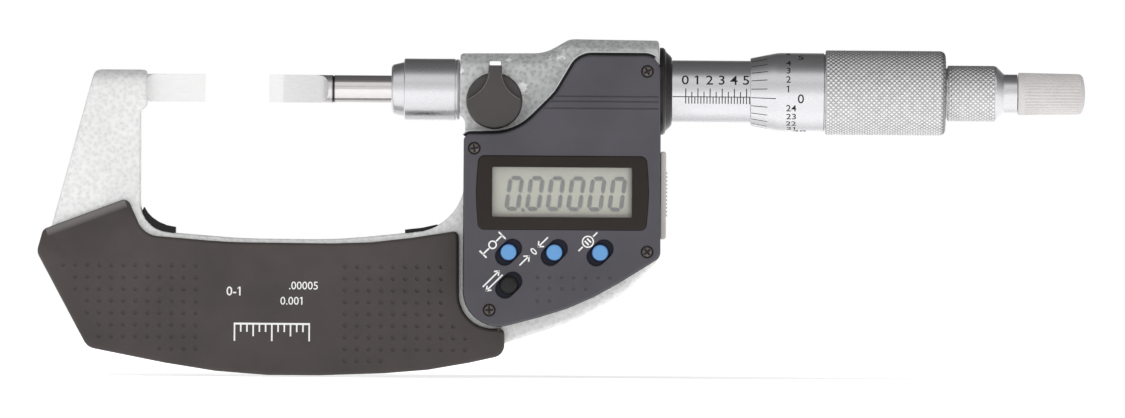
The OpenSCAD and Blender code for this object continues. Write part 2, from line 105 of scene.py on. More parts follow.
def rounded(path):
    n = len(path)
    pts = []
    for i in range(n):
        pts += fillet(path[i - 1], path[i], path[(i + 1) % n], path[i][2])
    area = sum(pts[i - 1][0] * pts[i][1] - pts[i][0] * pts[i - 1][1] for i in range(len(pts)))
    return pts if area > 0 else pts[::-1]


def offset(loop, d):
    """Moves a counter-clockwise loop inwards by d."""
    p = np.array(loop, float)
    e = np.roll(p, -1, 0) - p
    e /= np.linalg.norm(e, axis=1)[:, None]
    n = np.stack([-e[:, 1], e[:, 0]], 1)
    n0 = np.roll(n, 1, 0)
    m = (n + n0) / np.maximum(1 + (n * n0).sum(1), 0.35)[:, None]
    return [tuple(v) for v in p + d * m]


def circle(c, r, n=24, a0=0.0):
    return [(c[0] + r * math.cos(a0 + 2 * math.pi * i / n), c[1] + r * math.sin(a0 + 2 * math.pi * i / n)) for i in range(n)]


def capsule(c, r, d, n=12):
    """A slot at 45 degrees, d each way from its middle."""
    k = math.sqrt(0.5) * d
    out = []
    for s, a0 in ((1, -math.pi / 4), (-1, 3 * math.pi / 4)):
        for i in range(n + 1):
            a = a0 + math.pi * i / n
            out.append((c[0] + s * k + r * math.cos(a), c[1] + s * k + r * math.sin(a)))
    return out


def inside(p, loop):
    x, z = p
    odd = False
    for (x0, z0), (x1, z1) in zip(loop, loop[1:] + loop[:1]):
        if (z0 > z) != (z1 > z) and x < (x1 - x0) * (z - z0) / (z1 - z0) + x0:
            odd = not odd
    return odd


# ------------------------------------------------------------------ mesh making
class Build:
    def __init__(self):
        self.v, self.f, self.key = [], [], {}

    def at(self, p):
        k = (round(p[0], 4), round(p[1], 4), round(p[2], 4))
        if k not in self.key:
            self.key[k] = len(self.v)
            self.v.append(p)
        return self.key[k]

    def ring(self, loop, y):
        return [self.at((x, y, z)) for x, z in loop]

    def add(self, ids):
        out = [a for a, b in zip(ids, ids[1:] + ids[:1]) if a != b]
        if len(out) > 2 and len(set(out)) == len(out):
            self.f.append(out)

    def bridge(self, a, b):
        n = len(a)
        for i in range(n):
            self.add([a[i], a[(i + 1) % n], b[(i + 1) % n], b[i]])

    def flat(self, outer, holes, y):
        """Fills a flat face with holes."""
        pts, edges, loops = [], [], []
        for lp in [outer] + holes:
            base = len(pts)
            pts += [Vector(p) for p in lp]
            edges += [(base + i, base + (i + 1) % len(lp)) for i in range(len(lp))]
            loops.append(list(range(base, base + len(lp))))
        vs, _, fs, own, *_ = delaunay_2d_cdt(pts, edges, [loops[0]], 1, 1e-6)
        flat_pts = [p for lp in [outer] + holes for p in lp]
        vs = [flat_pts[o[0]] if o else tuple(v) for v, o in zip(vs, own)]
        boxes = [(min(p[0] for p in h), max(p[0] for p in h), min(p[1] for p in h), max(p[1] for p in h), h) for h in holes]
        for f in fs:
            cx, cz = sum(vs[i][0] for i in f) / len(f), sum(vs[i][1] for i in f) / len(f)
            if any(b[0] < cx < b[1] and b[2] < cz < b[3] and inside((cx, cz), b[4]) for b in boxes):
                continue
            self.add([self.at((vs[i][0], y, vs[i][1])) for i in f])

    def data(self, name):
        me = bpy.data.meshes.new(name)
        me.from_pydata([(x * MM, y * MM, z * MM) for x, y, z in self.v], [], self.f)
        bm = bmesh.new()
        bm.from_mesh(me)
        bmesh.ops.recalc_face_normals(bm, faces=bm.faces)
        bm.to_mesh(me)
        bm.free()
        return me


def place(me, name, body, material, sharp=32, weighted=True, stands_for=()):
    o = bpy.data.objects.new(name, me)
    bpy.context.scene.collection.objects.link(o)
    me.materials.clear()
    me.materials.append(material)
    me.shade_smooth()
    me.set_sharp_from_angle(angle=math.radians(sharp))
    if weighted:
        w = o.modifiers.new("normals", "WEIGHTED_NORMAL")
        w.keep_sharp = True
    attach(o, body)
    if stands_for:
        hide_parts(*stands_for)
    return o


def edge_rings(b, loop, y0, y1, bf, bb, seg):
    """Side wall of a plate with rounded edges; returns the two flat faces' loops."""
    rings = []
    for k in range(seg + 1):
        t = math.pi / 2 * k / seg
        rings.append((bf * (1 - math.sin(t)), y0 + bf * (1 - math.cos(t))) if bf > 0 else (0, y0))
    for k in range(seg + 1):
        t = math.pi / 2 * k / seg
        rings.append((bb * (1 - math.cos(t)), y1 - bb * (1 - math.sin(t))) if bb > 0 else (0, y1))
    loops = [(offset(loop, i), y) for i, y in rings]
    ids = [b.ring(lp, y) for lp, y in loops]
    for p, q in zip(ids, ids[1:]):
        b.bridge(p, q)
    return loops[0][0], loops[-1][0]


def plate(loop, y0, y1, bf=0.3, bb=0.3, front=(), back=(), seg=3, through=()):
    """A flat plate from y0 (front, towards -Y) to y1. front and back are recesses: (loop, [(inset, y), ...])."""
    b = Build()
    f0, f1 = edge_rings(b, loop, y0, y1, bf, bb, seg)
    b.flat(f0, [r[0] for r in front] + [t for t in through], y0)
    b.flat(f1, [r[0] for r in back] + [t for t in through], y1)
    for t in through:
        b.bridge(b.ring(t, y0), b.ring(t, y1))
    for recs, y in ((front, y0), (back, y1)):
        for lp, steps in recs:
            prev = b.ring(lp, y)
            last = lp
            for inset, yy in steps:
                last = offset(lp, inset)
                cur = b.ring(last, yy)
                b.bridge(prev, cur)
                prev = cur
            b.flat(last, [], steps[-1][1])
    return b


def lathe(prof, seg=144, closed=True, radius=None, axis="x", centre=(0, 0)):
    """Turns a profile of (distance along the axis, radius) round the axis."""
    b = Build()
    rows = []
    for x, r in prof:
        row = []
        for i in range(seg):
            t = 2 * math.pi * i / seg
            q = radius(x, t, r) if radius else r
            if axis == "x":
                row.append(b.at((x, -q * math.cos(t), q * math.sin(t))))
            else:
                row.append(b.at((centre[0] + q * math.cos(t), x, centre[1] + q * math.sin(t))))
        rows.append(row)
    pairs = list(zip(rows, rows[1:])) + ([(rows[-1], rows[0])] if closed else [])
    for p, q in pairs:
        b.bridge(p, q)
    return b


def prof(path):
    """Rounds the corners of a closed profile given as [x, r, fillet]."""
    return rounded(path)


def bake(o):
    """The object's mesh with its modifiers applied."""
    dg = bpy.context.evaluated_depsgraph_get()
    return bpy.data.meshes.new_from_object(o.evaluated_get(dg))


def cut(me, cutters):
    """me minus each cutter, by exact booleans."""
    for c in cutters:
        o = bpy.data.objects.new("tmp_cut", me)
        t = bpy.data.objects.new("tmp_tool", c.data("tmp_tool"))
        for x in (o, t):
            bpy.context.scene.collection.objects.link(x)
        m = o.modifiers.new("cut", "BOOLEAN")
        m.operation, m.solver, m.object = "DIFFERENCE", "EXACT", t
        bpy.context.view_layer.update()
        me = bake(o)
        bpy.data.objects.remove(t)
        bpy.data.objects.remove(o)
        bm = bmesh.new()
        bm.from_mesh(me)
        bmesh.ops.remove_doubles(bm, verts=bm.verts, dist=2e-7)
        bmesh.ops.dissolve_degenerate(bm, edges=bm.edges, dist=2e-7)
        bm.to_mesh(me)
        bm.free()
    return me


def prism(loop, y0, y1):
    b = Build()
    b.bridge(b.ring(loop, y0), b.ring(loop, y1))
    b.flat(loop, [], y0)
    b.flat(loop, [], y1)
    return b


def brick(x0, x1, y0, y1, z0, z1):
    return prism([(x0, z0), (x1, z0), (x1, z1), (x0, z1)], y0, y1)


# ------------------------------------------------------------------ materials
def new_mat(name):
    m = bpy.data.materials.new(name)
    m.use_nodes = True
    nt = m.node_tree
    p = nt.nodes["Principled BSDF"]
    return m, nt, p


def node(nt, kind, **kw):
    n = nt.nodes.new(kind)
    for k, v in kw.items():
        if k in n.inputs:
            n.inputs[k].default_value = v
        else:
            setattr(n, k, v)
    return n


def coords(nt, scale=(1, 1, 1)):
    tc = node(nt, "ShaderNodeTexCoord")
    mp = node(nt, "ShaderNodeMapping")
    mp.inputs["Scale"].default_value = scale
    nt.links.new(tc.outputs["Object"], mp.inputs["Vector"])
    return mp.outputs["Vector"]


def noise(nt, vec, scale, detail=3.0, rough=0.55):
    n = node(nt, "ShaderNodeTexNoise", Scale=scale, Detail=detail, Roughness=rough)
    nt.links.new(vec, n.inputs["Vector"])
    return n.outputs["Fac"]


def ramp(nt, fac, stops):
    r = node(nt, "ShaderNodeValToRGB")
    els = r.color_ramp.elements
    while len(els) < len(stops):
        els.new(0.5)
    for e, (pos, col) in zip(els, stops):
        e.position = pos
        e.color = (*col, 1) if len(col) == 3 else col
    nt.links.new(fac, r.inputs["Fac"])
    return r.outputs["Color"]


def bump(nt, p, height, strength, dist, prev=None):
    b = node(nt, "ShaderNodeBump", Strength=strength, Distance=dist)
    nt.links.new(height, b.inputs["Height"])
    if prev is not None:
        nt.links.new(prev, b.inputs["Normal"])
    nt.links.new(b.outputs["Normal"], p.inputs["Normal"])
    return b.outputs["Normal"]


def rough_map(nt, p, fac, lo, hi):
    m = node(nt, "ShaderNodeMapRange")
    m.inputs["To Min"].default_value = lo
    m.inputs["To Max"].default_value = hi
    nt.links.new(fac, m.inputs["Value"])
    nt.links.new(m.outputs["Result"], p.inputs["Roughness"])


def plastic(name, dark, light, rough=0.5, grain=2600.0, grain_dist=0.00002, coat=0.0, spec=0.5, strength=0.5):
    """Moulded plastic: a fine spark-eroded grain with slow colour and gloss variation."""
    m, nt, p = new_mat(name)
    v = coords(nt)
    big = noise(nt, v, 90.0, 4)
    col = ramp(nt, big, [(0.3, dark), (0.7, light)])
    nt.links.new(col, p.inputs["Base Color"])
    fine = noise(nt, v, grain, 3, 0.6)
    rough_map(nt, p, fine, rough - 0.08, rough + 0.08)
    bump(nt, p, fine, strength, grain_dist)
    p.inputs["Specular IOR Level"].default_value = spec
    p.inputs["Coat Weight"].default_value = coat
    p.inputs["Coat Roughness"].default_value = 0.25
    return m


def metal(name, dark, light, lo, hi, scale=(1, 1, 1), grain=4000.0, dist=0.000004, aniso=0.0, smudge=True, strength=0.4):
    """Machined or ground metal: tool marks along one direction with soft smudges in the gloss."""
    m, nt, p = new_mat(name)
    p.inputs["Metallic"].default_value = 1.0
    v = coords(nt, scale)
    marks = noise(nt, v, grain, 4, 0.7)
    col = ramp(nt, marks, [(0.25, dark), (0.75, light)])
    nt.links.new(col, p.inputs["Base Color"])
    if smudge:
        s = noise(nt, coords(nt), 160.0, 3)
        rough_map(nt, p, s, lo, hi)
    else:
        rough_map(nt, p, marks, lo, hi)
    bump(nt, p, marks, strength, dist)
    p.inputs["Anisotropic"].default_value = aniso
    return m


def enamel():
    """Silver hammertone enamel: a dimpled cell pattern under a soft gloss, darker on the machined head as painted
    shade, with white flecks there that are flaking paint and painted highlights both.
    """
    m, nt, p = new_mat("hammertone_enamel")
    v = coords(nt)
    vo = node(nt, "ShaderNodeTexVoronoi", Scale=1150.0)
    vo.feature = "SMOOTH_F1"
    vo.inputs["Smoothness"].default_value = 0.7
    nt.links.new(v, vo.inputs["Vector"])
    fine = noise(nt, v, 2300.0, 5, 0.65)
    big = noise(nt, v, 70.0, 3)
    mix = node(nt, "ShaderNodeMix", data_type="FLOAT")
    mix.inputs[0].default_value = 0.45
    nt.links.new(vo.outputs["Distance"], mix.inputs[2])
    nt.links.new(fine, mix.inputs[3])
    light = ramp(nt, mix.outputs[0], [(0.18, (0.66, 0.665, 0.655)), (0.40, (0.77, 0.775, 0.765)), (0.62, (0.87, 0.875, 0.865))])
    # darker copy of the enamel colour, laid on the head as painted shade
    dark = ramp(nt, mix.outputs[0], [(0.16, (0.30, 0.305, 0.305)), (0.38, (0.46, 0.465, 0.465)), (0.60, (0.60, 0.605, 0.605))])
    # the head, beyond the throat and above the display, takes the darker colour: painted shade
    sep = node(nt, "ShaderNodeSeparateXYZ")
    nt.links.new(v, sep.inputs[0])
    mx = node(nt, "ShaderNodeMapRange", interpolation_type="SMOOTHSTEP")
    mx.inputs["From Min"].default_value, mx.inputs["From Max"].default_value = 0.046, 0.055
    nt.links.new(sep.outputs["X"], mx.inputs["Value"])
    mz = node(nt, "ShaderNodeMapRange", interpolation_type="SMOOTHSTEP")
    mz.inputs["From Min"].default_value, mz.inputs["From Max"].default_value = -0.030, -0.012
    nt.links.new(sep.outputs["Z"], mz.inputs["Value"])
    both = node(nt, "ShaderNodeMath", operation="MULTIPLY")
    nt.links.new(mx.outputs["Result"], both.inputs[0])
    nt.links.new(mz.outputs["Result"], both.inputs[1])
    head_shaded_tone = node(nt, "ShaderNodeMix", data_type="RGBA")
    nt.links.new(both.outputs[0], head_shaded_tone.inputs[0])
    nt.links.new(light, head_shaded_tone.inputs[6])
    nt.links.new(dark, head_shaded_tone.inputs[7])
    # white flecks on the head: flaking paint together with painted highlights standing for scratchy glints
    streak = noise(nt, coords(nt, (0.55, 1, 1)), 620.0, 6, 0.75)
    patch = noise(nt, v, 130.0, 2)
    fl = node(nt, "ShaderNodeMath", operation="MULTIPLY")
    nt.links.new(streak, fl.inputs[0])
    nt.links.new(patch, fl.inputs[1])
    fleck_and_glint_mask = ramp(nt, fl.outputs[0], [(0.345, (0, 0, 0)), (0.375, (1, 1, 1))])
    on = node(nt, "ShaderNodeMath", operation="MULTIPLY")
    nt.links.new(fleck_and_glint_mask, on.inputs[0])
    nt.links.new(both.outputs[0], on.inputs[1])
    fleck_and_glint_mix = node(nt, "ShaderNodeMix", data_type="RGBA")
    nt.links.new(on.outputs[0], fleck_and_glint_mix.inputs[0])
    nt.links.new(head_shaded_tone.outputs[2], fleck_and_glint_mix.inputs[6])
    fleck_and_glint_mix.inputs[7].default_value = (0.92, 0.92, 0.91, 1)
    cloud = ramp(nt, big, [(0.35, (0.93, 0.935, 0.93)), (0.7, (1, 1, 1))])
    mul = node(nt, "ShaderNodeMix", data_type="RGBA", blend_type="MULTIPLY")
    mul.inputs[0].default_value = 1.0
    nt.links.new(fleck_and_glint_mix.outputs[2], mul.inputs[6])
    nt.links.new(cloud, mul.inputs[7])
    nt.links.new(mul.outputs[2], p.inputs["Base Color"])
    p.inputs["Metallic"].default_value = 0.3
    rough_map(nt, p, fine, 0.32, 0.55)
    n1 = bump(nt, p, vo.outputs["Distance"], 0.4, 0.00010)
    n2 = bump(nt, p, on.outputs[0], 0.5, 0.00010, n1)
    bump(nt, p, fine, 0.3, 0.00004, n2)
    p.inputs["Coat Weight"].default_value = 0.2
    p.inputs["Coat Roughness"].default_value = 0.25
    return m


M = {}
M["enamel"] = enamel()
M["cover"] = plastic("cover_plastic", (0.044, 0.036, 0.034), (0.060, 0.049, 0.046), 0.46, 2400.0, 0.00003, spec=0.4)
M["housing"] = plastic("housing_plastic", (0.058, 0.055, 0.066), (0.073, 0.069, 0.082), 0.44, 2800.0, 0.00002, spec=0.4)
M["recess"] = plastic("recess_plastic", (0.008, 0.009, 0.018), (0.013, 0.014, 0.026), 0.5, spec=0.2)
M["knob"] = plastic("knob_plastic", (0.046, 0.040, 0.040), (0.061, 0.053, 0.053), 0.38, 2600.0, 0.000012, spec=0.4)
# painted highlight colour for the clamp lever's flank edges
M["worn"] = plastic("worn_edge", (0.20, 0.19, 0.185), (0.34, 0.33, 0.32), 0.35, 900.0, 0.00001)
M["black"] = plastic("black_plastic", (0.010, 0.008, 0.008), (0.015, 0.012, 0.012), 0.30, 1800.0, 0.000002, spec=0.35)
M["gasket"] = plastic("gasket_rubber", (0.010, 0.010, 0.011), (0.018, 0.018, 0.019), 0.6, spec=0.25)
M["border"] = plastic("window_border", (0.017, 0.012, 0.010), (0.022, 0.016, 0.013), 0.16, 900.0, 0.000001, spec=0.22)
M["cap"] = plastic("cap_plastic", (0.56, 0.535, 0.525), (0.67, 0.645, 0.635), 0.5, 2200.0, 0.00002)
M["port"] = plastic("port_plastic", (0.46, 0.44, 0.425), (0.55, 0.53, 0.515), 0.58, 2200.0, 0.00002)
M["white"] = plastic("white_print", (0.80, 0.80, 0.79), (0.88, 0.88, 0.87), 0.5, 4000.0, 0.000002)
# near-white colour for the lever tip, a painted highlight
M["tip"] = plastic("tip_highlight_plastic", (0.90, 0.90, 0.89), (0.97, 0.97, 0.96), 0.35, 1500.0, 0.000004)
M["ink"] = plastic("scale_ink", (0.008, 0.008, 0.009), (0.016, 0.016, 0.017), 0.55, 5000.0, 0.000002, spec=0.2)
M["blue"] = plastic("blue_button", (0.105, 0.295, 0.60), (0.135, 0.345, 0.66), 0.32, 1500.0, 0.000004, spec=0.4)
M["navy"] = plastic("navy_button", (0.008, 0.018, 0.06), (0.011, 0.025, 0.08), 0.35, 1500.0, 0.000004, spec=0.3)
M["dark_button"] = plastic("dark_button", (0.007, 0.007, 0.007), (0.011, 0.011, 0.010), 0.26, 1500.0, 0.000003, spec=0.3)
M["chrome"] = metal("satin_chrome", (0.66, 0.655, 0.675), (0.75, 0.745, 0.765), 0.24, 0.31, (0.35, 1, 1), 3800.0, 0.000002)


def knurl_material(name, r0, r1):
    """Chrome on the diamonds' tops, darker towards the bottoms of the grooves: painted shade in the knurl's hollows."""
    m, nt, p = new_mat(name)
    p.inputs["Metallic"].default_value = 0.9
    ln = node(nt, "ShaderNodeVectorMath", operation="LENGTH")
    nt.links.new(coords(nt, (0, 1, 1)), ln.inputs[0])
    mr = node(nt, "ShaderNodeMapRange")
    mr.inputs["From Min"].default_value, mr.inputs["From Max"].default_value = r0 * MM, r1 * MM
    nt.links.new(ln.outputs["Value"], mr.inputs["Value"])
    # painted shade: the base colour darkens with depth into the grooves
    depth = ramp(nt, mr.outputs["Result"], [(0.0, (0.30, 0.30, 0.30)), (0.45, (0.54, 0.54, 0.545)), (0.85, (0.80, 0.80, 0.805)), (1.0, (0.90, 0.90, 0.905))])
    dirt = ramp(nt, noise(nt, coords(nt), 700.0, 4), [(0.3, (0.86, 0.86, 0.86)), (0.65, (1, 1, 1))])
    mul = node(nt, "ShaderNodeMix", data_type="RGBA", blend_type="MULTIPLY")
    mul.inputs[0].default_value = 1.0
    nt.links.new(depth, mul.inputs[6])
    nt.links.new(dirt, mul.inputs[7])
    nt.links.new(mul.outputs[2], p.inputs["Base Color"])
    rough_map(nt, p, noise(nt, coords(nt), 2400.0, 3), 0.26, 0.38)
    return m


M["knurl"] = knurl_material("knurled_chrome_thimble", 8.57, 8.83)
M["knurl_small"] = knurl_material("knurled_chrome_ratchet", 5.59, 5.83)
M["blade"] = metal("ground_blade", (0.81, 0.81, 0.805), (0.90, 0.90, 0.895), 0.42, 0.52, (0.12, 1, 1), 2600.0, 0.000003)
M["blade"].node_tree.nodes["Principled BSDF"].inputs["Metallic"].default_value = 0.25
M["carbide"] = metal("carbide", (0.82, 0.82, 0.815), (0.89, 0.89, 0.885), 0.42, 0.5, (1, 1, 1), 3200.0, 0.000003)
M["carbide"].node_tree.nodes["Principled BSDF"].inputs["Metallic"].default_value = 0.2
M["steel"] = metal("machined_steel", (0.42, 0.43, 0.45), (0.60, 0.61, 0.63), 0.28, 0.42, (0.35, 1, 1), 3800.0, 0.000005)
M["screw"] = metal("bronzed_screw", (0.075, 0.062, 0.053), (0.19, 0.16, 0.14), 0.30, 0.45, (1, 1, 1), 1800.0, 0.000006)
M["bronze"] = metal("bronze", (0.44, 0.31, 0.14), (0.58, 0.42, 0.20), 0.30, 0.42, (0.35, 1, 1), 3800.0, 0.000005)
M["gold"] = metal("gold_contact", (0.70, 0.50, 0.18), (0.82, 0.62, 0.26), 0.22, 0.34)
M["cell"] = metal("cell_can", (0.60, 0.60, 0.58), (0.74, 0.74, 0.72), 0.20, 0.32)
M["pcb"] = plastic("solder_mask", (0.020, 0.13, 0.05), (0.030, 0.18, 0.075), 0.35, 1200.0, 0.00001, coat=0.3)
M["flex"] = plastic("polyimide", (0.42, 0.17, 0.03), (0.52, 0.24, 0.05), 0.35)


def spindle_material():
    """Satin behind the blade, then a dark turned line, then lapped bright where it slides."""
    m, nt, p = new_mat("ground_spindle")
    p.inputs["Metallic"].default_value = 1.0
    v = coords(nt)
    sep = node(nt, "ShaderNodeSeparateXYZ")
    nt.links.new(v, sep.inputs[0])
    at = node(nt, "ShaderNodeMapRange")
    at.inputs["From Min"].default_value, at.inputs["From Max"].default_value = 0.016, 0.036
    nt.links.new(sep.outputs["X"], at.inputs["Value"])
    band = ramp(nt, at.outputs["Result"], [(0.0, (0.84, 0.84, 0.84)), (0.52, (0.76, 0.75, 0.755)), (0.535, (0.05, 0.04, 0.04)), (0.55, (0.05, 0.04, 0.04)), (0.56, (0.80, 0.77, 0.765))])
    marks = noise(nt, coords(nt, (0.2, 1, 1)), 2600.0, 4, 0.7)
    tint = ramp(nt, marks, [(0.25, (0.88, 0.87, 0.87)), (0.75, (1, 1, 1))])
    mul = node(nt, "ShaderNodeMix", data_type="RGBA", blend_type="MULTIPLY")
    mul.inputs[0].default_value = 1.0
    nt.links.new(band, mul.inputs[6])
    nt.links.new(tint, mul.inputs[7])
    nt.links.new(mul.outputs[2], p.inputs["Base Color"])
    rg = ramp(nt, at.outputs["Result"], [(0.0, (0.45, 0.45, 0.45)), (0.53, (0.34, 0.34, 0.34)), (0.56, (0.07, 0.07, 0.07)), (1.0, (0.06, 0.06, 0.06))])
    nt.links.new(rg, p.inputs["Roughness"])
    bump(nt, p, marks, 0.25, 0.000001)
    return m


M["spindle"] = spindle_material()


def lcd_material():
    """Reflective liquid crystal panel: grey-green, a little warmer and darker towards its edges, where the darkening is
    painted shade from the window border.
    """
    m, nt, p = new_mat("lcd_panel")
    v = coords(nt)
    sep = node(nt, "ShaderNodeSeparateXYZ")
    nt.links.new(v, sep.inputs[0])
    mr = node(nt, "ShaderNodeMapRange")
    mr.inputs["From Min"].default_value = -0.0268
    mr.inputs["From Max"].default_value = -0.0156
    nt.links.new(sep.outputs["Z"], mr.inputs["Value"])
    # painted shade along the bottom edge; the very top is a little lighter
    col = ramp(nt, mr.outputs["Result"], [(0.0, (0.17, 0.15, 0.135)), (0.05, (0.22, 0.20, 0.18)), (0.13, (0.40, 0.387, 0.33)), (0.24, (0.44, 0.437, 0.37)), (0.9, (0.45, 0.447, 0.39)), (1.0, (0.49, 0.487, 0.43))])
    mx = node(nt, "ShaderNodeMapRange")
    mx.inputs["From Min"].default_value = 0.0600
    mx.inputs["From Max"].default_value = 0.0896
    nt.links.new(sep.outputs["X"], mx.inputs["Value"])
    # painted shade along the right edge and, faintly, the left edge
    side = ramp(nt, mx.outputs["Result"], [(0.0, (0.82, 0.82, 0.82)), (0.03, (1, 1, 1)), (0.955, (1, 1, 1)), (0.985, (0.44, 0.42, 0.41)), (1.0, (0.36, 0.34, 0.33))])
    mul = node(nt, "ShaderNodeMix", data_type="RGBA", blend_type="MULTIPLY")
    mul.inputs[0].default_value = 1.0
    nt.links.new(col, mul.inputs[6])
    nt.links.new(side, mul.inputs[7])
    nt.links.new(mul.outputs[2], p.inputs["Base Color"])
    fine = noise(nt, v, 5200.0, 2)
    bump(nt, p, fine, 0.2, 0.000002)
    rough_map(nt, p, fine, 0.4, 0.55)
    return m


M["lcd"] = lcd_material()


def flat_ink(name, col, alpha):
    m, nt, p = new_mat(name)
    v = coords(nt)
    f = noise(nt, v, 1400.0, 2)
    c = ramp(nt, f, [(0.3, tuple(x * 0.94 for x in col)), (0.7, tuple(min(1, x * 1.06) for x in col))])
    nt.links.new(c, p.inputs["Base Color"])
    rough_map(nt, p, f, 0.4, 0.5)
    p.inputs["Alpha"].default_value = alpha
    return m


M["segment"] = flat_ink("lcd_segment", (0.155, 0.160, 0.160), 1.0)
M["ghost"] = flat_ink("lcd_segment_shadow", (0.28, 0.28, 0.25), 0.3)


def clear():
    m, nt, p = new_mat("window_clear")
    f = noise(nt, coords(nt), 300.0, 2)
    c = ramp(nt, f, [(0.3, (0.86, 0.88, 0.85)), (0.7, (0.90, 0.92, 0.89))])
    nt.links.new(c, p.inputs["Base Color"])
    rough_map(nt, p, f, 0.03, 0.06)
    p.inputs["Alpha"].default_value = 0.06
    p.inputs["Specular IOR Level"].default_value = 0.2
    return m


M["clear"] = clear()

# ------------------------------------------------------------------ frame: the CAD solid with cast, enamelled edges
src = bpy.data.objects.new("tmp_frame", N["frame"].data.copy())
bpy.context.scene.collection.objects.link(src)
wm = src.modifiers.new("weld", "WELD")
wm.merge_threshold = 0.000002
rm = src.modifiers.new("cast", "REMESH")
rm.mode, rm.voxel_size = "VOXEL", (0.00042)
sm = src.modifiers.new("soft", "SMOOTH")
sm.factor, sm.iterations = 0.5, (7)
bpy.context.view_layer.update()
frame_mesh = bake(src)
bpy.data.objects.remove(src)
frame_mesh.name = "frame_casting"
place(frame_mesh, "frame_casting", FB, M["enamel"], 60, False, ["frame"])

# ------------------------------------------------------------------ insulating covers
cover = [(max(p[0], -34.71), max(p[1], -59.915)) for p in rounded(INSULATOR)]
cover_in = offset(cover, 1.9)


def dimple(c, y, s, r=0.52):
    return (circle(c, r, 12), [(0.12, y + s * 0.10), (0.28, y + s * 0.22), (0.40, y + s * 0.26)])


def room(c, loop, r):
    return inside(c, loop) and min(math.hypot(c[0] - x, c[1] - z) for x, z in dense[id(loop)]) > r


def densify(loop, step=0.8):
    out = []
    for (x0, z0), (x1, z1) in zip(loop, loop[1:] + loop[:1]):
        n = max(1, int(math.hypot(x1 - x0, z1 - z0) / step))
        out += [(x0 + (x1 - x0) * i / n, z0 + (z1 - z0) * i / n) for i in range(n)]
    return out


dense = {id(cover): densify(cover)}
left = [(-29.3 + 2.52 * k, -37.1 - 2.48 * j) for k in range(12) for j in range(8)]
right = [(29.6 + 2.52 * k, -37.1 - 2.46 * j) for k in range(13) for j in range(9)]
dots = [c for c in left + right if room(c, cover, 2.6)]
COV_F, COV_B = -6.2, 6.2
front_rec = [dimple(c, COV_F, 1) for c in dots]
back_rec = [dimple(c, COV_B, -1) for c in dots if min(math.hypot(c[0] - x, c[1] - z) for x, z in COVER_SCREWS) > 2.4]
back_rec += [(circle(c, 1.62, 24), [(0.0, 5.25)]) for c in COVER_SCREWS]
slab_cut = prism(rounded(FRAME), -4.0, 4.0)
bevel = Build()  # the broad bevel on the slanted upper edge
u = np.array([-16 + 33.6, -23.1 + 29.75])
u /= np.linalg.norm(u)
n_in = np.array([u[1], -u[0]])
a, c2 = np.array([-33.6, -29.75]) - 4 * u, np.array([-16.0, -23.1]) + 4 * u
tri = [(-0.6, COV_F - 1.0), (2.2, COV_F - 1.0), (1.9, COV_F), (0.0, COV_F + 1.15), (-0.6, COV_F + 1.4)]
ra = [bevel.at((a[0] + n_in[0] * t, y, a[1] + n_in[1] * t)) for t, y in tri]
rb = [bevel.at((c2[0] + n_in[0] * t, y, c2[1] + n_in[1] * t)) for t, y in tri]
bevel.bridge(ra, rb)
bevel.add(ra)
bevel.add(rb)
fm = cut(plate(cover, COV_F, -0.04, 0.75, 0.1, front_rec, seg=4).data("front_cover"), [slab_cut, bevel])
place(fm, "front_cover_shell", FB, M["cover"], 34, True, ["front_insulator"])
bm_ = cut(plate(cover, 0.04, COV_B, 0.1, 0.75, back=back_rec, seg=4).data("rear_cover_shell"), [prism(rounded(FRAME), -4.0, 4.0)])
place(bm_, "rear_cover_shell", FB, M["cover"], 34, True, ["rear_insulator"])
# the lips that hook over the frame's inner edge
lip_l = [(-12.6, -25.0), (-11.9, -26.15), (-11.0, -27.1), (-9.6, -28.05), (-7.9, -28.75), (-6.0, -29.1), (-6.0, -31.4), (-9.5, -31.0), (-12.2, -29.0), (-13.2, -26.2)]
lip_r = [(42.0, -29.3), (45.5, -28.9), (48.6, -28.2), (49.2, -28.4), (48.6, -30.6), (42.0, -31.6)]
for nm, lp in (("cover_lip_left", lip_l), ("cover_lip_right", lip_r)):
    lp = lp if sum(lp[i - 1][0] * lp[i][1] - lp[i][0] * lp[i - 1][1] for i in range(len(lp))) > 0 else lp[::-1]
    place(plate(lp, -3.55, 5.6, 0.15, 0.3).data(nm), nm, FB, M["gasket"], 34, True, ())

# ------------------------------------------------------------------ display housing
FY = -13.0
hl = rounded(HOUSING)
rec = []
rec.append((rounded(WINDOW), [(0.0, -12.02)]))
for c in BUTTONS:
    rec.append((capsule(c, 2.15, 1.13), [(0.12, FY + 0.12), (0.16, -12.1)]))
for c in SCREWS:
    rec.append((circle(c, 1.4, 28), [(0.05, FY + 0.06), (0.06, -12.15)]))
hd = [(69.8 + 2.52 * k, -39.0) for k in range(7)] + [(69.8 + 2.52 * k, -41.35) for k in range(5)] + [(69.8 + 2.52 * k, -43.9) for k in range(2)]
for c in hd:
    rec.append(dimple(c, FY, 1, 0.46))
tools = [
    prism(rounded(CAVITY), -11.4, -4.0),
    brick(52, 98, -8.0, -3.0, -9.35, 9),
    brick(93, 98, -10.2, -6.9, -29.8, -13.7),
    prism(offset(rounded(LCD), -0.35), -12.6, -11.0),
] + [prism(circle(c, 2.0, 40), -12.35, -11.0) for c in BUTTONS]
enc = Build()
ring0 = [(-9.75 * math.cos(t), 9.75 * math.sin(t)) for t in [2 * math.pi * i / 96 for i in range(96)]]
r0 = [enc.at((77.0, y, z)) for y, z in ring0]
r1 = [enc.at((98.0, y, z)) for y, z in ring0]
enc.bridge(r0, r1)
enc.add(r0)
enc.add(r1)
tools.append(enc)
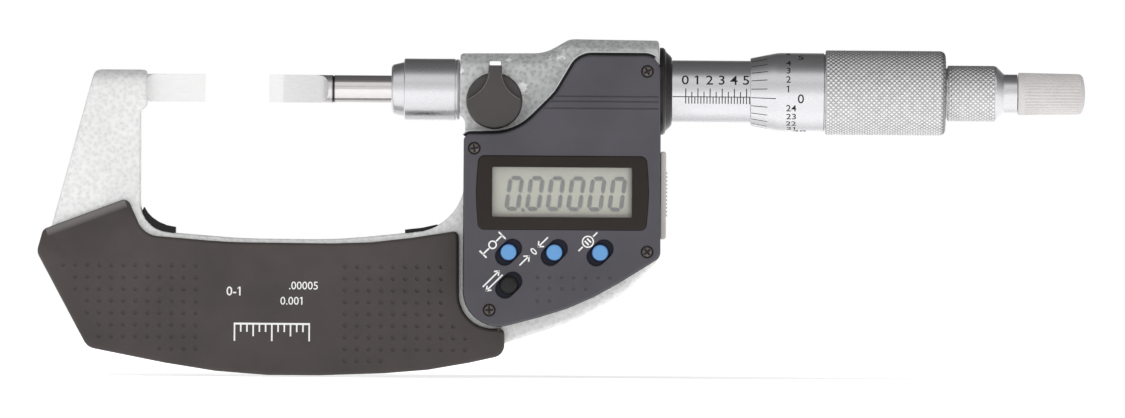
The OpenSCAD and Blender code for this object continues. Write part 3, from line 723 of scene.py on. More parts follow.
for z in (-1.25, -2.3, -3.75):  # fine grooves
    g = Build()
    sec = [(FY - 0.3, z + 0.34), (FY + 0.17, z + 0.05), (FY + 0.17, z - 0.05), (FY - 0.3, z - 0.34)]
    g0 = [g.at((66, y, q)) for y, q in sec]
    g1 = [g.at((98, y, q)) for y, q in sec]
    g.bridge(g0, g1)
    g.add(g0)
    g.add(g1)
    tools.append(g)
hm = cut(plate(hl, FY, -4.5, 0.55, 0.05, rec, seg=4).data("housing"), tools)
place(hm, "display_housing_shell", FB, M["housing"], 34, True, ["display_housing"])
# dark floors of the button recesses and a dark skirt where housing meets frame
for i, c in enumerate(BUTTONS):
    fl = plate(capsule(c, 2.08, 1.13), -12.17, -12.105, 0.0, 0.0, through=[circle(c, 2.0, 40)])
    place(fl.data(f"recess_floor_{i + 1}"), f"recess_floor_{i + 1}", FB, M["recess"], 34, False, ())
top = [p for p in hl if p[1] > -10.5]


def band(pts, d0, d1, y0, y1, name, material):
    """A strip outside an open run of the housing's outline, from d0 to d1 mm away."""
    n = len(hl)
    run = [i for i in range(n) if pts(hl[i])]
    start = next(i for i in run if (i - 1) % n not in run)
    order = []
    i = start
    while i in run:
        order.append(i)
        i = (i + 1) % n
    o0, o1 = offset(hl, -d0), offset(hl, -d1)
    loop = [o0[i] for i in order] + [o1[i] for i in reversed(order)]
    if sum(loop[i - 1][0] * loop[i][1] - loop[i][0] * loop[i - 1][1] for i in range(len(loop))) < 0:
        loop = loop[::-1]
    b = plate(loop, y0, y1, 0.0, 0.0)
    return place(b.data(name), name, FB, material, 34, False, ())


upper = lambda p: (p[1] > -9.9 and p[0] < 79.5) or (p[1] > 6.5 and p[0] < 94.3)
band(upper, -0.25, 0.62, -9.2, -7.55, "gasket_skirt", M["gasket"])
band(lambda p: not upper(p), -0.2, 0.16, -4.6, -4.0, "gasket_edge", M["gasket"])
# a thin raised lip coloured bright as a painted highlight along the frame's edge
band(upper, 0.62, 0.86, -7.75, -7.4, "lip_painted_highlight", M["blade"])

# ------------------------------------------------------------------ window, border and liquid crystal panel
wl = rounded(WINDOW)
border = plate(offset(wl, 0.06), -13.1, -12.04, 0.22, 0.0, through=[rounded(LCD)])
place(border.data("window_border"), "window_border", FB, M["border"], 34, True, ["display_window"])
pane = plate(offset(rounded(LCD), 0.0), -13.02, -12.3, 0.05, 0.0)
place(pane.data("window_pane"), "window_pane", FB, M["clear"], 34, True, ())
N["lcd_panel"].data.materials.clear()
N["lcd_panel"].data.materials.append(M["lcd"])


class Decals:
    """Thin closed inlays laid on a surface."""

    def __init__(self):
        self.v, self.f = [], []

    def tri(self, pts, faces, to, thick=0.03):
        """pts in 2D, faces as index lists; to(x, s, h) gives the 3D point at height h over the surface."""
        base, n = len(self.v), len(pts)
        self.v += [to(x, s, 0.012) for x, s in pts] + [to(x, s, 0.012 - thick) for x, s in pts]
        count = {}
        for f in faces:
            for a_, b_ in zip(f, f[1:] + f[:1]):
                count[(a_, b_)] = count.get((a_, b_), 0) + 1
        for f in faces:
            self.f.append([base + i for i in f])
            self.f.append([base + n + i for i in reversed(f)])
        for (a_, b_) in count:
            if (b_, a_) not in count:
                self.f.append([base + b_, base + a_, base + n + a_, base + n + b_])

    def rect(self, x0, x1, s0, s1, to, rot=0.0, at=(0, 0), step=0.4, thick=0.03):
        nx, ns = max(1, math.ceil(abs(x1 - x0) / 1.5)), max(1, math.ceil(abs(s1 - s0) / step))
        pts, faces = [], []
        ca, sa = math.cos(rot), math.sin(rot)
        for j in range(ns + 1):
            for i in range(nx + 1):
                x, s = x0 + (x1 - x0) * i / nx, s0 + (s1 - s0) * j / ns
                pts.append((at[0] + x * ca - s * sa, at[1] + x * sa + s * ca))
        for j in range(ns):
            for i in range(nx):
                k = j * (nx + 1) + i
                faces.append([k, k + 1, k + nx + 2, k + nx + 1])
        self.tri(pts, faces, to, thick)

    def poly(self, loop, to, thick=0.03):
        self.tri(loop, [list(range(len(loop)))], to, thick)

    def ringed(self, c, r0, r1, to, n=24, thick=0.03, a0=0.0, a1=2 * math.pi):
        pts, faces = [], []
        full = abs(a1 - a0 - 2 * math.pi) < 1e-6
        m = n if full else n + 1
        for i in range(m):
            t = a0 + (a1 - a0) * i / n
            pts += [(c[0] + r0 * math.cos(t), c[1] + r0 * math.sin(t)), (c[0] + r1 * math.cos(t), c[1] + r1 * math.sin(t))]
        for i in range(n):
            j = (i + 1) % m
            faces.append([2 * i, 2 * i + 1, 2 * j + 1, 2 * j])
        self.tri(pts, faces, to, thick)

    def text(self, body_text, size, at, to, rot=0.0, squash=1.0, weight=0.0, step=0.3, thick=0.03):
        cu = bpy.data.curves.new("tmp_text", "FONT")
        cu.body, cu.size, cu.align_x, cu.align_y, cu.offset, cu.resolution_u = body_text, size, "CENTER", "CENTER", weight, 3
        ob = bpy.data.objects.new("tmp_text", cu)
        bpy.context.scene.collection.objects.link(ob)
        bpy.context.view_layer.update()
        me = bake(ob)
        bpy.data.objects.remove(ob)
        bm = bmesh.new()
        bm.from_mesh(me)
        bpy.data.meshes.remove(me)
        bmesh.ops.remove_doubles(bm, verts=bm.verts, dist=1e-4)
        ys = [v.co.y for v in bm.verts]
        xs = [v.co.x for v in bm.verts]
        mid = ((min(xs) + max(xs)) / 2, (min(ys) + max(ys)) / 2)
        flags, seen = [], set()
        for v0 in bm.verts:
            if v0 in seen:
                continue
            stack, isle = [v0], []
            seen.add(v0)
            while stack:
                v = stack.pop()
                isle.append(v)
                for e in v.link_edges:
                    w = e.other_vert(v)
                    if w not in seen:
                        seen.add(w)
                        stack.append(w)
            x0, x1 = min(v.co.x for v in isle), max(v.co.x for v in isle)
            y0, y1 = min(v.co.y for v in isle), max(v.co.y for v in isle)
            if y1 - y0 > 0.45 * size and x1 - x0 < 0.26 * (y1 - y0):
                flags.append((x0, y1, y1 - y0))
        k = 1
        while min(ys) + k * step < max(ys):
            bmesh.ops.bisect_plane(bm, geom=bm.verts[:] + bm.edges[:] + bm.faces[:], plane_co=(0, min(ys) + k * step, 0), plane_no=(0, 1, 0))
            k += 1
        bm.verts.index_update()
        ca, sa = math.cos(rot), math.sin(rot)
        pts = []
        for v in bm.verts:
            x, s = (v.co.x - mid[0]) * squash, v.co.y - mid[1]
            pts.append((at[0] + x * ca - s * sa, at[1] + x * sa + s * ca))
        faces = [[v.index for v in f.verts] for f in bm.faces]
        bm.free()
        for x0, y1, hh in flags:
            n = len(pts)
            for fx, fy in ((0, 0), (-0.19, -0.16), (-0.19, -0.27), (0, -0.15)):
                x, s = (x0 + fx * hh - mid[0]) * squash, y1 + fy * hh - mid[1]
                pts.append((at[0] + x * ca - s * sa, at[1] + x * sa + s * ca))
            faces.append([n, n + 1, n + 2, n + 3])
        self.tri(pts, faces, to, thick)

    def make(self, name, body, material, slot):
        me = bpy.data.meshes.new(name)
        me.from_pydata([(x * MM, y * MM, z * MM) for x, y, z in self.v], [], self.f)
        bm = bmesh.new()
        bm.from_mesh(me)
        bmesh.ops.recalc_face_normals(bm, faces=bm.faces)
        bm.to_mesh(me)
        bm.free()
        return place(me, name, body, material, 40, False, ())


def on_plane(y, s=-1):
    return lambda x, z, h: (x, y + s * h, z)


def on_drum(radius, zero=TILT):
    """x along the axis, s the arc length upwards from the index line."""
    def to(x, s, h):
        r = radius(x) if callable(radius) else radius
        t = zero + s / r
        return (x, -(r + h) * math.cos(t), (r + h) * math.sin(t))
    return to


# painted highlight: a lighter strip laid on the cover's moulded bevel, its tone varying across the width
facet = Decals()
f_len = float(np.linalg.norm(np.array([-16.0, -23.1]) - np.array([-33.6, -29.75])))


def on_facet(d, t, h):
    k = 1.15 / 1.9
    n_ = math.hypot(1, k)
    y = -5.05 - k * t
    return (-33.6 + u[0] * d + n_in[0] * (t - h * k / n_), y - h / n_, -29.75 + u[1] * d + n_in[1] * (t - h * k / n_))


facet.rect(0.5, f_len - 0.7, 0.06, 1.86, on_facet, thick=0.05)
M["facet"], f_nt, f_p = new_mat("cover_facet")
f_dot = node(f_nt, "ShaderNodeVectorMath", operation="DOT_PRODUCT")
f_dot.inputs[1].default_value = (n_in[0], 0, n_in[1])
f_nt.links.new(coords(f_nt), f_dot.inputs[0])
f_at = node(f_nt, "ShaderNodeMapRange")
f_0 = (-33.6 * n_in[0] - 29.75 * n_in[1]) * MM
f_at.inputs["From Min"].default_value, f_at.inputs["From Max"].default_value = f_0, f_0 + 1.9 * MM
f_nt.links.new(f_dot.outputs["Value"], f_at.inputs["Value"])
f_nt.links.new(ramp(f_nt, f_at.outputs["Result"], [(0.0, (0.11, 0.10, 0.097)), (0.25, (0.165, 0.152, 0.148)), (0.62, (0.13, 0.119, 0.115)), (0.95, (0.056, 0.047, 0.044))]), f_p.inputs["Base Color"])
f_p.inputs["Roughness"].default_value = 0.42
facet.make("cover_facet_front", FB, M["facet"], "insulator_plastic")

# seven-segment digits
def digit_segments(cx, z_mid, h=7.2, w=3.2, t=0.80, slant=8.0, gap=0.05):
    k = math.tan(math.radians(slant))
    w2, h2 = w / 2 - t / 2, h / 2 - t / 2
    out = []

    def seg(x0, z0, x1, z1):
        dx, dz = x1 - x0, z1 - z0
        ln = math.hypot(dx, dz)
        ux, uz = dx / ln, dz / ln
        px, pz = -uz, ux
        g, q = gap + t * 0.08, t / 2
        pts = [(x0 + ux * g, z0 + uz * g), (x0 + ux * (g + q) + px * q, z0 + uz * (g + q) + pz * q), (x1 - ux * (g + q) + px * q, z1 - uz * (g + q) + pz * q),
               (x1 - ux * g, z1 - uz * g), (x1 - ux * (g + q) - px * q, z1 - uz * (g + q) - pz * q), (x0 + ux * (g + q) - px * q, z0 + uz * (g + q) - pz * q)]
        out.append([(cx + x + z * k, z_mid + z) for x, z in pts])

    seg(-w2, h2, w2, h2)
    seg(-w2, -h2, w2, -h2)
    for s in (-1, 1):
        seg(s * w2, 0, s * w2, h2)
        seg(s * w2, -h2, s * w2, 0)
    return out


lcd_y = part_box("lcd_panel")[0][1] / MM
seg, ghost = Decals(), Decals()
for i in range(6):
    for lp in digit_segments(64.75 + 4.3 * i, -21.55):
        seg.poly(lp, on_plane(lcd_y - 0.03))
        ghost.poly([(x + 0.18, z - 0.18) for x, z in lp], on_plane(lcd_y))
seg.poly(circle((66.55, -25.0), 0.36, 16), on_plane(lcd_y - 0.03))
ghost.poly(circle((66.77, -25.2), 0.36, 16), on_plane(lcd_y))
seg.make("lcd_digits", FB, M["segment"], "lcd_glass")
ghost.make("lcd_digit_shadows", FB, M["ghost"], "lcd_glass")

# ------------------------------------------------------------------ screws
def cross(c, a_, w_, rot):
    pts = []
    for k in range(4):
        t = rot + math.pi / 2 * k
        ux, uz = math.cos(t), math.sin(t)
        px, pz = -uz, ux
        pts += [(c[0] + ux * a_ - px * w_, c[1] + uz * a_ - pz * w_), (c[0] + ux * a_ + px * w_, c[1] + uz * a_ + pz * w_), (c[0] + ux * w_ + px * w_, c[1] + uz * w_ + pz * w_)]
    return pts


def screw_head(c, y, s, r, rot, name, t=0.75):
    y0, y1 = (y, y + t) if s > 0 else (y - t, y)
    steps = [(0.0, y + s * 0.45)]
    rcs = [(cross(c, r * 0.78 if s > 0 else r * 0.66, 0.21, rot), steps)]
    b = plate(circle(c, r, 40), y0, y1, 0.25 if s > 0 else 0.02, 0.25 if s < 0 else 0.02, rcs if s > 0 else (), rcs if s < 0 else ())
    return b.data(name)


def join(parts, name):
    bm = bmesh.new()
    for me in parts:
        bm.from_mesh(me)
    out = bpy.data.meshes.new(name)
    bm.to_mesh(out)
    bm.free()
    return out


def shank(c, y0, y1, r):
    return lathe(prof([[y0, 0, 0], [y1, 0, 0], [y1, r, 0.1], [y0, r, 0.1]]), 24, True, None, "y", c).data("shank")


parts = []
for c, rot in zip(SCREWS, (0.5, 0.15, 0.7, 0.05)):
    parts.append(screw_head(c, -12.9, 1, 1.1, rot, "head"))
    parts.append(shank(c, -12.2, -7.8 if c[1] > 0 else -1.52, 0.76))
# painted shade: a dark cross laid in each screw head's cross recess
cross_shades = [plate(cross(c, 0.86, 0.21, rot), -12.86, -12.6, 0.0, 0.0).data("cross") for c, rot in zip(SCREWS, (0.5, 0.15, 0.7, 0.05))]
place(join(cross_shades, "housing_screw_cross_shade"), "housing_screw_cross_shade", FB, M["recess"], 34, False, ())
place(join(parts, "housing_screw_set"), "housing_screw_set", FB, M["screw"], 34, True, ["housing_screws"])
parts = []
for c, rot in zip(REAR_SCREWS, (0.2, 0.9, 0.4, 1.2)):
    parts.append(screw_head(c, 6.02, -1, 1.25, rot, "head"))
    parts.append(shank(c, 1.05, 5.3, 0.76))
place(join(parts, "rear_screw_set"), "rear_screw_set", FB, M["screw"], 34, True, ["rear_cover_screws"])
parts = []
for c, rot in zip(COVER_SCREWS, (0.3, 1.0)):
    parts.append(screw_head(c, 6.06, -1, 1.45, rot, "head"))
    parts.append(shank(c, -4.95, 5.4, 0.86))
place(join(parts, "cover_screw_set"), "cover_screw_set", FB, M["screw"], 34, True, ["insulator_screws"])

# ------------------------------------------------------------------ buttons
for c, nm, top_m, low_m in zip(BUTTONS, ("origin", "zero", "hold", "unit"), ("blue", "blue", "blue", "dark_button"), ("navy", "navy", "navy", "dark_button")):
    body = nm + "_button_body"
    capp = lathe(prof([[-12.55, 0, 0], [-12.55, 1.62, 0.02], [-13.02, 1.62, 0.28], [-13.09, 1.2, 2.5], [-13.1, 0, 0]][::-1]), 48, True, None, "y", c)
    place(capp.data(nm + "_button_top"), nm + "_button_top", body, M[top_m], 40, True, [nm + "_button"])
    low = lathe(prof([[-8.45, 0, 0], [-8.45, 1.0, 0.1], [-10.82, 1.0, 0.05], [-10.82, 2.38, 0.1], [-11.3, 2.38, 0.1], [-11.3, 1.93, 0.05], [-12.5, 1.93, 0.3], [-12.62, 1.6, 0.05], [-12.62, 0, 0]]), 48, True, None, "y", c)
    place(low.data(nm + "_button_base"), nm + "_button_base", body, M[low_m], 40, True, ())

# pictograms beside the buttons, and the cover's range and resolution figures
pic = Decals()
P = on_plane(FY)
A45 = math.radians(45)


def along(o, t, h):
    """A point t mm along and h mm across the 45 degree line from o."""
    return (o[0] + (t - h) * math.sqrt(0.5), o[1] + (t + h) * math.sqrt(0.5))


def line(o, t0, h0, t1, h1, w=0.28):
    p0, p1 = along(o, t0, h0), along(o, t1, h1)
    ln = math.hypot(p1[0] - p0[0], p1[1] - p0[1])
    pic.rect(-w / 4, ln + w / 4, -w / 2, w / 2, P, math.atan2(p1[1] - p0[1], p1[0] - p0[0]), p0)


o1 = (58.1, -34.6)  # origin: a target between two gauge faces
pic.ringed(along(o1, 3.2, 0), 0.62, 0.92, P)
line(o1, 0.4, -0.95, 0.4, 0.95, 0.34)
line(o1, 6.0, -0.95, 6.0, 0.95, 0.34)
line(o1, 0.4, 0, 2.1, 0, 0.32)
line(o1, 4.3, 0, 6.0, 0, 0.32)
o2 = (65.7, -36.9)  # zero: a zero between arrows
pic.text("0", 2.3, along(o2, 4.6, 0), P, A45, 0.85, 0.03)
for s in (-1, 1):
    line(o2, 4.6 + s * 1.3, 0, 4.6 + s * 4.1, 0, 0.3)
    line(o2, 4.6 + s * 1.4, 0, 4.6 + s * 2.2, 0.75, 0.3)
    line(o2, 4.6 + s * 1.4, 0, 4.6 + s * 2.2, -0.75, 0.3)
o3 = (78.4, -33.4)  # hold: pause bars in a ring
pic.ringed(along(o3, 2.6, 0), 1.0, 1.28, P)
line(o3, 2.25, -0.5, 2.25, 0.5, 0.36)
line(o3, 2.95, -0.5, 2.95, 0.5, 0.36)
line(o3, -0.1, 0, 1.0, 0, 0.3)
line(o3, 4.2, 0, 5.3, 0, 0.3)
o4 = (58.4, -41.9)  # units: arrows both ways
for s in (-1, 1):
    line(o4, 0.6, s * 0.55, 5.2, s * 0.55, 0.3)
    e = 5.3 if s > 0 else 0.5
    line(o4, e, s * 0.55, e - s * 0.8, s * 0.55 + 0.6, 0.3)
    line(o4, e, s * 0.55, e - s * 0.8, s * 0.55 - 0.6, 0.3)
pic.make("button_pictograms", FB, M["white"], "white_plastic")

pr = Decals()
Q = on_plane(COV_F)
pr.text("0-1", 2.65, (6.3, -42.4), Q, 0, 1.0, 0.02)
pr.text(".00005", 2.35, (20.9, -41.15), Q, 0, 0.98, 0.01)
pr.text("0.001", 2.35, (18.4, -44.35), Q, 0, 0.98, 0.01)
for k in range(13):  # a plain ruler motif
    pr.rect(6.4 + 1.3 * k, 6.4 + 1.3 * k + 0.32, -49.4, -49.4 - (3.4 if k % 6 == 0 else 2.4 if k % 3 == 0 else 1.5), Q)
pr.rect(6.4, 22.32, -49.4, -49.0, Q)
pr.make("cover_figures", FB, M["white"], "white_plastic")

# ------------------------------------------------------------------ clamp lever
disc = lathe(prof([[-7.87, 0, 0], [-7.87, 5.88, 0.15], [-9.2, 5.88, 0.2], [-9.85, 5.5, 0.3], [-9.85, 0, 0]]), 96, True, None, "y", CLAMP)
lv = plate(rounded(LEVER), -11.58, -9.0, 0.45, 0.0, seg=4)
# painted highlights: light strips along the lever's flanks stand for the light its raised edges catch
edge = Decals()
lev = rounded(LEVER)
for sgn in (-1, 1):
    run = sorted([p for p in lev if -2.0 < p[1] < 4.6 and (p[0] - 60.6) * sgn > 0.8], key=lambda p: -p[1])
    for (xa, za), (xb, zb) in zip(run, run[1:]):
        w0, w1 = 0.13 * min(1, (4.6 - za) / 2.5), 0.13 * min(1, (4.6 - zb) / 2.5)
        dx, dz = xb - xa, zb - za
        ln = math.hypot(dx, dz) or 1
        nx, nz = dz / ln * sgn, -dx / ln * sgn
        k = 0.16
        edge.tri([(xa + nx * k, za + nz * k), (xb + nx * k, zb + nz * k), (xb + nx * (k + w1), zb + nz * (k + w1)), (xa + nx * (k + w0), za + nz * (k + w0))], [[0, 1, 2, 3]], on_plane(-11.49), 0.06)
edge.make("clamp_worn_edges", "clamp_body", M["worn"], "knob_plastic")
# painted highlight: a white plate on the lever's top end stands for the light it catches
tip = plate(rounded([[59.44, 5.1, 0.13], [61.9, 5.1, 0.13], [61.86, 6.0, 0.3], [59.44, 6.0, 0.3]]), -11.64, -11.2, 0.08, 0.0)
place(tip.data("clamp_tip_highlight_plate"), "clamp_tip_highlight_plate", "clamp_body", M["tip"], 40, False, ())
place(disc.data("clamp_disc"), "clamp_disc", "clamp_body", M["knob"], 34, True, ["clamp_lever"])
place(lv.data("lever"), "clamp_pointer", "clamp_body", M["knob"], 30, True, ())

# ------------------------------------------------------------------ turned parts
SL, TH = 6.5, 8.2
nose = lathe(prof([[38.95, 2.95, 0.05], [38.95, 4.75, 0.35], [39.4, 5.2, 0.5], [41.6, 5.72, 0.1], [41.6, 6.25, 0.05], [41.8, 6.48, 0.1], [52.2, 6.48, 0.06], [52.35, 6.3, 0.03], [52.6, 6.3, 0.03], [52.75, 6.45, 0.05], [53.2, 6.2, 0.02], [53.2, 5.58, 0.02], [56.4, 5.58, 0.1], [56.4, 2.95, 0.05]][::-1]), 160)
place(nose.data("guide_nose"), "guide_nose", FB, M["chrome"], 30, True, ["spindle_guide"])
collar = lathe(prof([[95.0, 5.65, 0.05], [95.0, 9.12, 0.15], [95.75, 9.12, 0.25], [96.15, 8.75, 0.2], [96.3, 8.3, 0.1], [97.25, 7.4, 0.3], [97.55, 7.0, 0.15], [97.55, 5.65, 0.05]][::-1]), 160)
place(collar.data("sleeve_collar_ring"), "sleeve_collar_ring", FB, M["black"], 34, True, ["sleeve_collar"])
sleeve = lathe(prof([[97.6, 5.62, 0.05], [97.6, SL, 0.05], [128.5, SL, 0.2], [128.5, 5.62, 0.05]][::-1]), 192)
place(sleeve.data("sleeve_tube"), "sleeve_tube", FB, M["chrome"], 30, True, ["graduated_sleeve"])
sc = Decals()
S = on_drum(SL)
sc.rect(97.7, 127.9, -0.09, 0.09, S)
for k in range(41):
    x = 100.46 + 0.635 * k
    sc.rect(x - 0.1, x + 0.1, -1.5, 0, S)
    if k % 4 == 0:
        sc.rect(x - 0.1, x + 0.1, 0, 1.75, S)
        sc.text(str((k // 4) % 10), 2.9, (x - 0.12, 3.6), S, 0, 1.12, 0.02)
    elif k % 2 == 0:
        sc.rect(x - 0.1, x + 0.1, 0, 1.05, S)
sc.make("sleeve_scale", FB, M["ink"], "dark_steel")


def thimble_r(x):
    return 7.05 + (x - 114.1) * (TH - 7.05) / (119.7 - 114.1) if x < 119.7 else TH


body_prof = prof([[113.97, 6.56, 0.02], [113.97, 6.96, 0.05], [114.1, 7.05, 0.1], [119.7, TH, 8], [129.3, TH, 0.05], [129.45, 8.0, 0.03], [129.7, 8.0, 0.03], [129.7, 6.92, 0.05], [119.2, 6.92, 0.1], [118.6, 6.56, 0.1]][::-1])
place(lathe(body_prof, 192).data("thimble_drum"), "thimble_drum", "thimble_body", M["chrome"], 30, True, ["thimble"])


def tri(v):
    v = v % 1.0
    return 1 - abs(2 * v - 1)


def knurl(x0, x1, r_out, count, px, depth, inner, seg, dx, name, flare=0.5):
    """A barrel with a diamond knurl of raised, blunted pyramids and rounded rims."""
    n = int(round((x1 - x0) / dx))
    xs = [x0 + (x1 - x0) * i / n for i in range(n + 1)]
    rims = [(x0, inner), (x0, r_out - depth - 0.12)]
    body = []
    for x in xs:
        e0, e1 = x - x0, x1 - x
        drop = 0.0
        if e1 < flare:
            drop = flare - math.sqrt(max(0, flare * flare - (flare - e1) ** 2))
        if e0 < 0.25:
            drop = max(drop, 0.25 - math.sqrt(max(0, 0.0625 - (0.25 - e0) ** 2)))
        body.append((x, r_out - drop))
    rims2 = [(x1, inner)]
    prof_ = rims[:1] + body + rims2

    def rad(x, t, r):
        if r <= inner + 1e-6:
            return r
        a_, b_ = t * count / (2 * math.pi), (x - x0) / px
        h = min(tri(a_ + b_), tri(a_ - b_))
        h = min(1.0, h * 1.75)
        fade = min(1.0, (x - x0) / 0.3, (x1 - x) / 0.25 + 0.15)
        return r - depth * (1 - h) * max(0.0, fade)

    return lathe(prof_[::-1], seg, True, rad).data(name)


q1 = 0.125
place(knurl(129.7, 154.85, 8.83, 52, 1.06, 0.24, 6.92, 52 * (8), q1, "thimble_grip", 1.3), "thimble_grip", "thimble_body", M["knurl"], 75, False, ())
hub = lathe(prof([[148.6, 3.22, 0.02], [148.6, 6.9, 0.02], [154.6, 6.9, 0.05], [154.86, 6.6, 0.05], [154.86, 2.62, 0.05]][::-1]), 96)
place(hub.data("thimble_hub"), "thimble_hub", "thimble_body", M["chrome"], 34, True, ())
th = Decals()
T = on_drum(thimble_r)
for k in range(25):
    g = k * 2 * math.pi / 25

    def T_at(x, s, h, g=g):
        r = thimble_r(x)
        t = TILT + g + s / 8.2
        return (x, -(r + h) * math.cos(t), (r + h) * math.sin(t))

    th.rect(114.15, 119.3 if k == 0 else 117.5, -0.09, 0.09, T_at)
    if k % 5 == 0:
        th.text(str(k), 2.75, (124.5 if k < 10 else 124.3, 0.0), T_at, 0, 1.05, 0.015)
    else:
        th.text(str(k), 2.05, (121.9 if k < 10 else 122.5, 0.0), T_at, 0, 1.05 if k < 10 else 1.1, 0.015)
th.make("thimble_scale", "thimble_body", M["ink"], "dark_steel")

place(knurl(155.2, 165.2, 5.83, 34, 1.06, 0.22, 4.0, 34 * (8), q1, "ratchet_grip", 0.3), "ratchet_grip", "thimble_body", M["knurl_small"], 75, False, ["ratchet_base"])
neck = lathe(prof([[154.96, 1.62, 0.02], [154.96, 5.3, 0.05], [155.4, 5.3, 0.02], [155.4, 3.9, 0.02], [165.0, 3.9, 0.02], [165.0, 5.6, 0.02], [165.35, 5.75, 0.15], [166.8, 4.3, 0.25], [167.1, 4.05, 0.15], [169.85, 4.05, 0.12], [169.85, 3.25, 0.05], [161, 3.25, 0.02], [161, 1.25, 0.02], [160.1, 1.25, 0.02], [160.1, 1.62, 0.02]][::-1]), 128)
place(neck.data("ratchet_neck"), "ratchet_neck", "thimble_body", M["chrome"], 30, True, ())


def flute(x, t, r):
    if r < 4.0 or x < 171.2:
        return r
    k = min(1.0, (x - 171.2) / 0.35)
    v = (t * 40 / (2 * math.pi)) % 1.0
    w = abs(v - 0.5) * 2
    return r - 0.17 * k * max(0.0, 1 - (w / 0.5) ** 2)


cp = [(169.98, 3.32), (169.98, 4.2), (170.08, 4.36), (170.25, 4.43)]
cp += [(170.25 + (182.6 - 170.25) * i / 60, 4.43 - 0.2 * i / 60) for i in range(1, 61)]
cp += [(182.95, 4.14), (183.3, 3.92), (183.55, 3.5), (183.75, 2.8), (183.92, 1.8), (184.02, 0.9), (184.05, 0), (181.65, 0), (181.65, 2.25), (180.05, 2.25), (180.05, 1.35), (176.25, 1.35), (176.25, 3.32)]
place(lathe(cp[::-1], 40 * 8, True, flute).data("ratchet_cap_fluted"), "ratchet_cap_fluted", "ratchet_body", M["cap"], 40, False, ["ratchet_cap"])

# ------------------------------------------------------------------ port cover, rear cover, battery cap
pc = [brick(93.8, 95.4, -10.05, -7.05, -29.6, -13.9).data("a"), plate(rounded([[95.31, -12.65, 0.3], [96.45, -12.65, 0.6], [96.5, -30.95, 0.6], [95.31, -30.95, 0.3]]), -11.38, -5.82, 0.22, 0.22).data("b")]
for i in range(12):
    z = -26.2 + i * 0.8
    pc.append(plate(rounded([[96.2, z, 0.11], [96.74, z + 0.05, 0.13], [96.74, z + 0.43, 0.13], [96.2, z + 0.48, 0.11]]), -10.9, -6.3, 0.09, 0.09).data("c"))
place(join(pc, "port_cover_ribbed"), "port_cover_ribbed", "port_cover_body", M["port"], 34, True, ["port_cover"])

rl = rounded(REAR)
rrec = [(circle(c, 1.42, 28), [(0.0, 5.2)]) for c in REAR_SCREWS]
rp = plate(rl, 4.04, 6.2, 0.05, 0.45, back=rrec, through=[circle(BATTERY, 7.72, 72)])
place(rp.data("rear_panel"), "rear_panel", FB, M["housing"], 34, True, ["rear_cover"])
bl = lathe(prof([[4.05, 0, 0], [4.05, 6.98, 0.05], [5.5, 6.98, 0.03], [5.5, 7.58, 0.1], [6.78, 7.58, 0.3], [6.78, 0, 0]]), 96, True, None, "y", BATTERY)
slot_cut = Build()
ang = math.radians(-30)
sx = []
for dx, dz in ((-4.8, -0.75), (4.8, -0.75), (4.8, 0.75), (-4.8, 0.75)):
    sx.append((BATTERY[0] + dx * math.cos(ang) - dz * math.sin(ang), BATTERY[1] + dx * math.sin(ang) + dz * math.cos(ang)))
blm = cut(bl.data("battery_lid"), [prism(sx, 5.9, 8.0)])
place(blm, "battery_lid", "battery_cap_body", M["housing"], 34, True, ["battery_cap"])

# ------------------------------------------------------------------ CAD nodes that keep their shape
PLAIN = {
    "anvil": "blade", "anvil_tip": "carbide", "spindle": "spindle", "spindle_tip": "carbide", "thrust_ball": "spindle",
    "coupling_pins": "steel", "lead_screw": "steel", "inner_sleeve": "steel", "adjusting_nut": "steel", "guide_key": "steel",
    "guide_key_screw": "screw", "rear_guide_bush": "bronze", "clamp_ring": "steel", "clamp_shaft": "steel", "encoder_stator": "pcb",
    "encoder_rotor": "gold", "rotor_bearing": "bronze", "encoder_flex": "flex", "ratchet_screw": "steel", "ratchet_spring": "steel",
    "ratchet_wheel": "steel", "ratchet_pawl": "steel", "housing_gasket": "gasket", "display_mask": "border", "lcd_holder": "white",
    "contact_strips": "gasket", "circuit_board": "pcb", "board_components": "black", "switch_domes": "gold", "switch_boots": "gasket",
    "battery": "cell", "battery_holder": "black", "battery_contact": "gold", "battery_seal": "gasket", "data_connector": "black", "connector_pins": "gold",
}
for nm, mt in PLAIN.items():
    me = N[nm].data
    me.materials.clear()
    me.materials.append(M[mt])
for nm in ("anvil", "anvil_tip", "spindle", "spindle_tip"):
    bv = N[nm].modifiers.new("edge", "BEVEL")
    bv.width, bv.segments, bv.limit_method, bv.angle_limit = 0.00004, 1, "ANGLE", math.radians(50)

# ------------------------------------------------------------------ stage, lights, camera
floor_z = box_cad[0][2] - 0.0003
fb = bmesh.new()
bmesh.ops.create_circle(fb, cap_ends=True, radius=3.0, segments=96, matrix=Matrix.Translation((0.075, 0, floor_z)))
fme = bpy.data.meshes.new("floor")
fb.to_mesh(fme)
fb.free()
floor = bpy.data.objects.new("floor", fme)
bpy.context.scene.collection.objects.link(floor)
fmat, fnt, fp = new_mat("pale_floor")
fcol = ramp(fnt, noise(fnt, coords(fnt), 3.0, 2), [(0.3, (0.90, 0.90, 0.90)), (0.7, (0.93, 0.93, 0.93))])
fnt.links.new(fcol, fp.inputs["Base Color"])
fp.inputs["Roughness"].default_value = 0.7
fp.inputs["Specular IOR Level"].default_value = 0.1
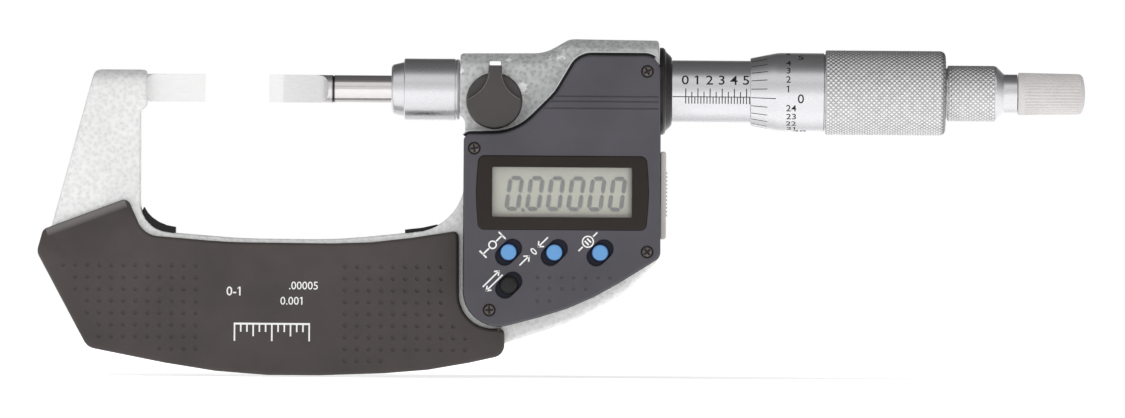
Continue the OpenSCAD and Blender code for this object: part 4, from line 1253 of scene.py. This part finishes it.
# painted shadow: the floor's glow is turned down in a soft pool under and behind the micrometer
floor_shade_map = node(fnt, "ShaderNodeMapping")
floor_shade_map.inputs["Scale"].default_value = (1 / 0.19, 1 / 0.062, 0)
floor_shade_map.inputs["Location"].default_value = (-0.07 / 0.19, -0.052 / 0.062, 0)
fnt.links.new(node(fnt, "ShaderNodeTexCoord").outputs["Object"], floor_shade_map.inputs["Vector"])
floor_shade_gradient = node(fnt, "ShaderNodeTexGradient", gradient_type="SPHERICAL")
fnt.links.new(floor_shade_map.outputs["Vector"], floor_shade_gradient.inputs["Vector"])
glow_with_painted_shadow = ramp(fnt, floor_shade_gradient.outputs["Fac"], [(0.0, (0.93, 0.93, 0.93)), (0.5, (0.62, 0.62, 0.62)), (0.9, (0.40, 0.40, 0.40))])
fnt.links.new(glow_with_painted_shadow, fp.inputs["Emission Color"])
fp.inputs["Emission Strength"].default_value = 0.72
fme.materials.append(fmat)

world = bpy.data.worlds.new("studio")
bpy.context.scene.world = world
world.use_nodes = True
wn = world.node_tree
bg = wn.nodes["Background"]
wtc = node(wn, "ShaderNodeTexCoord")
wsp = node(wn, "ShaderNodeSeparateXYZ")
wn.links.new(wtc.outputs["Generated"], wsp.inputs[0])
grey = lambda v: (v, v, v * 1.005)
front_col = ramp(wn, wsp.outputs["Z"], [(0.0, grey(0.86)), (0.25, grey(0.84)), (0.30, grey(0.72)), (0.45, grey(0.70)), (0.52, grey(0.86)), (0.82, grey(0.86)), (0.88, grey(0.32)), (0.95, grey(0.22)), (1.0, grey(0.14))])
back_col = ramp(wn, wsp.outputs["Z"], [(0.0, grey(1.0)), (0.03, grey(1.0)), (0.08, grey(0.55)), (0.34, grey(0.28)), (0.6, grey(0.09)), (1.0, grey(0.14))])
wmr = node(wn, "ShaderNodeMapRange")
wmr.inputs["From Min"].default_value, wmr.inputs["From Max"].default_value = -0.15, 0.15
wn.links.new(wsp.outputs["Y"], wmr.inputs["Value"])
wmx = node(wn, "ShaderNodeMix", data_type="RGBA")
wn.links.new(wmr.outputs["Result"], wmx.inputs[0])
wn.links.new(front_col, wmx.inputs[6])
wn.links.new(back_col, wmx.inputs[7])
wn.links.new(wmx.outputs[2], bg.inputs["Color"])
bg.inputs["Strength"].default_value = 1.0


def area(name, loc, target, size, power, size_y=None):
    li = bpy.data.lights.new(name, "AREA")
    li.energy, li.size = power, size
    if size_y:
        li.shape, li.size_y = "RECTANGLE", size_y
    ob = bpy.data.objects.new(name, li)
    ob.location = loc
    ob.rotation_euler = (Vector(target) - Vector(loc)).to_track_quat("-Z", "Y").to_euler()
    bpy.context.scene.collection.objects.link(ob)
    return ob


mid = (0.075, 0, -0.025)
for soft in (area("key", (-0.55, -0.62, 1.10), mid, 0.5, 2.6), area("fill", (-0.9, -1.0, 0.1), mid, 0.9, 0.9)):
    soft.visible_glossy = False
area("back", (0.2, 0.9, 0.7), mid, 0.8, 4.0).visible_glossy = False

cam_d = bpy.data.cameras.new("camera")
cam = bpy.data.objects.new("camera", cam_d)
bpy.context.scene.collection.objects.link(cam)
bpy.context.scene.camera = cam
D = 4000.0
cam_d.sensor_width = 36.0
cam_d.lens = 36.0 * D / 235.36
roll = math.radians(0.42)
cam.matrix_world = Matrix((
    (math.cos(roll), -math.sin(roll), 0, 74.89 * MM),
    (0, 0, -1, -D * MM),
    (math.sin(roll), math.cos(roll), 0, -24.77 * MM),
    (0, 0, 0, 1)))
cam_d.clip_start, cam_d.clip_end = 0.05, 40
bpy.context.scene.view_settings.view_transform = "Standard"
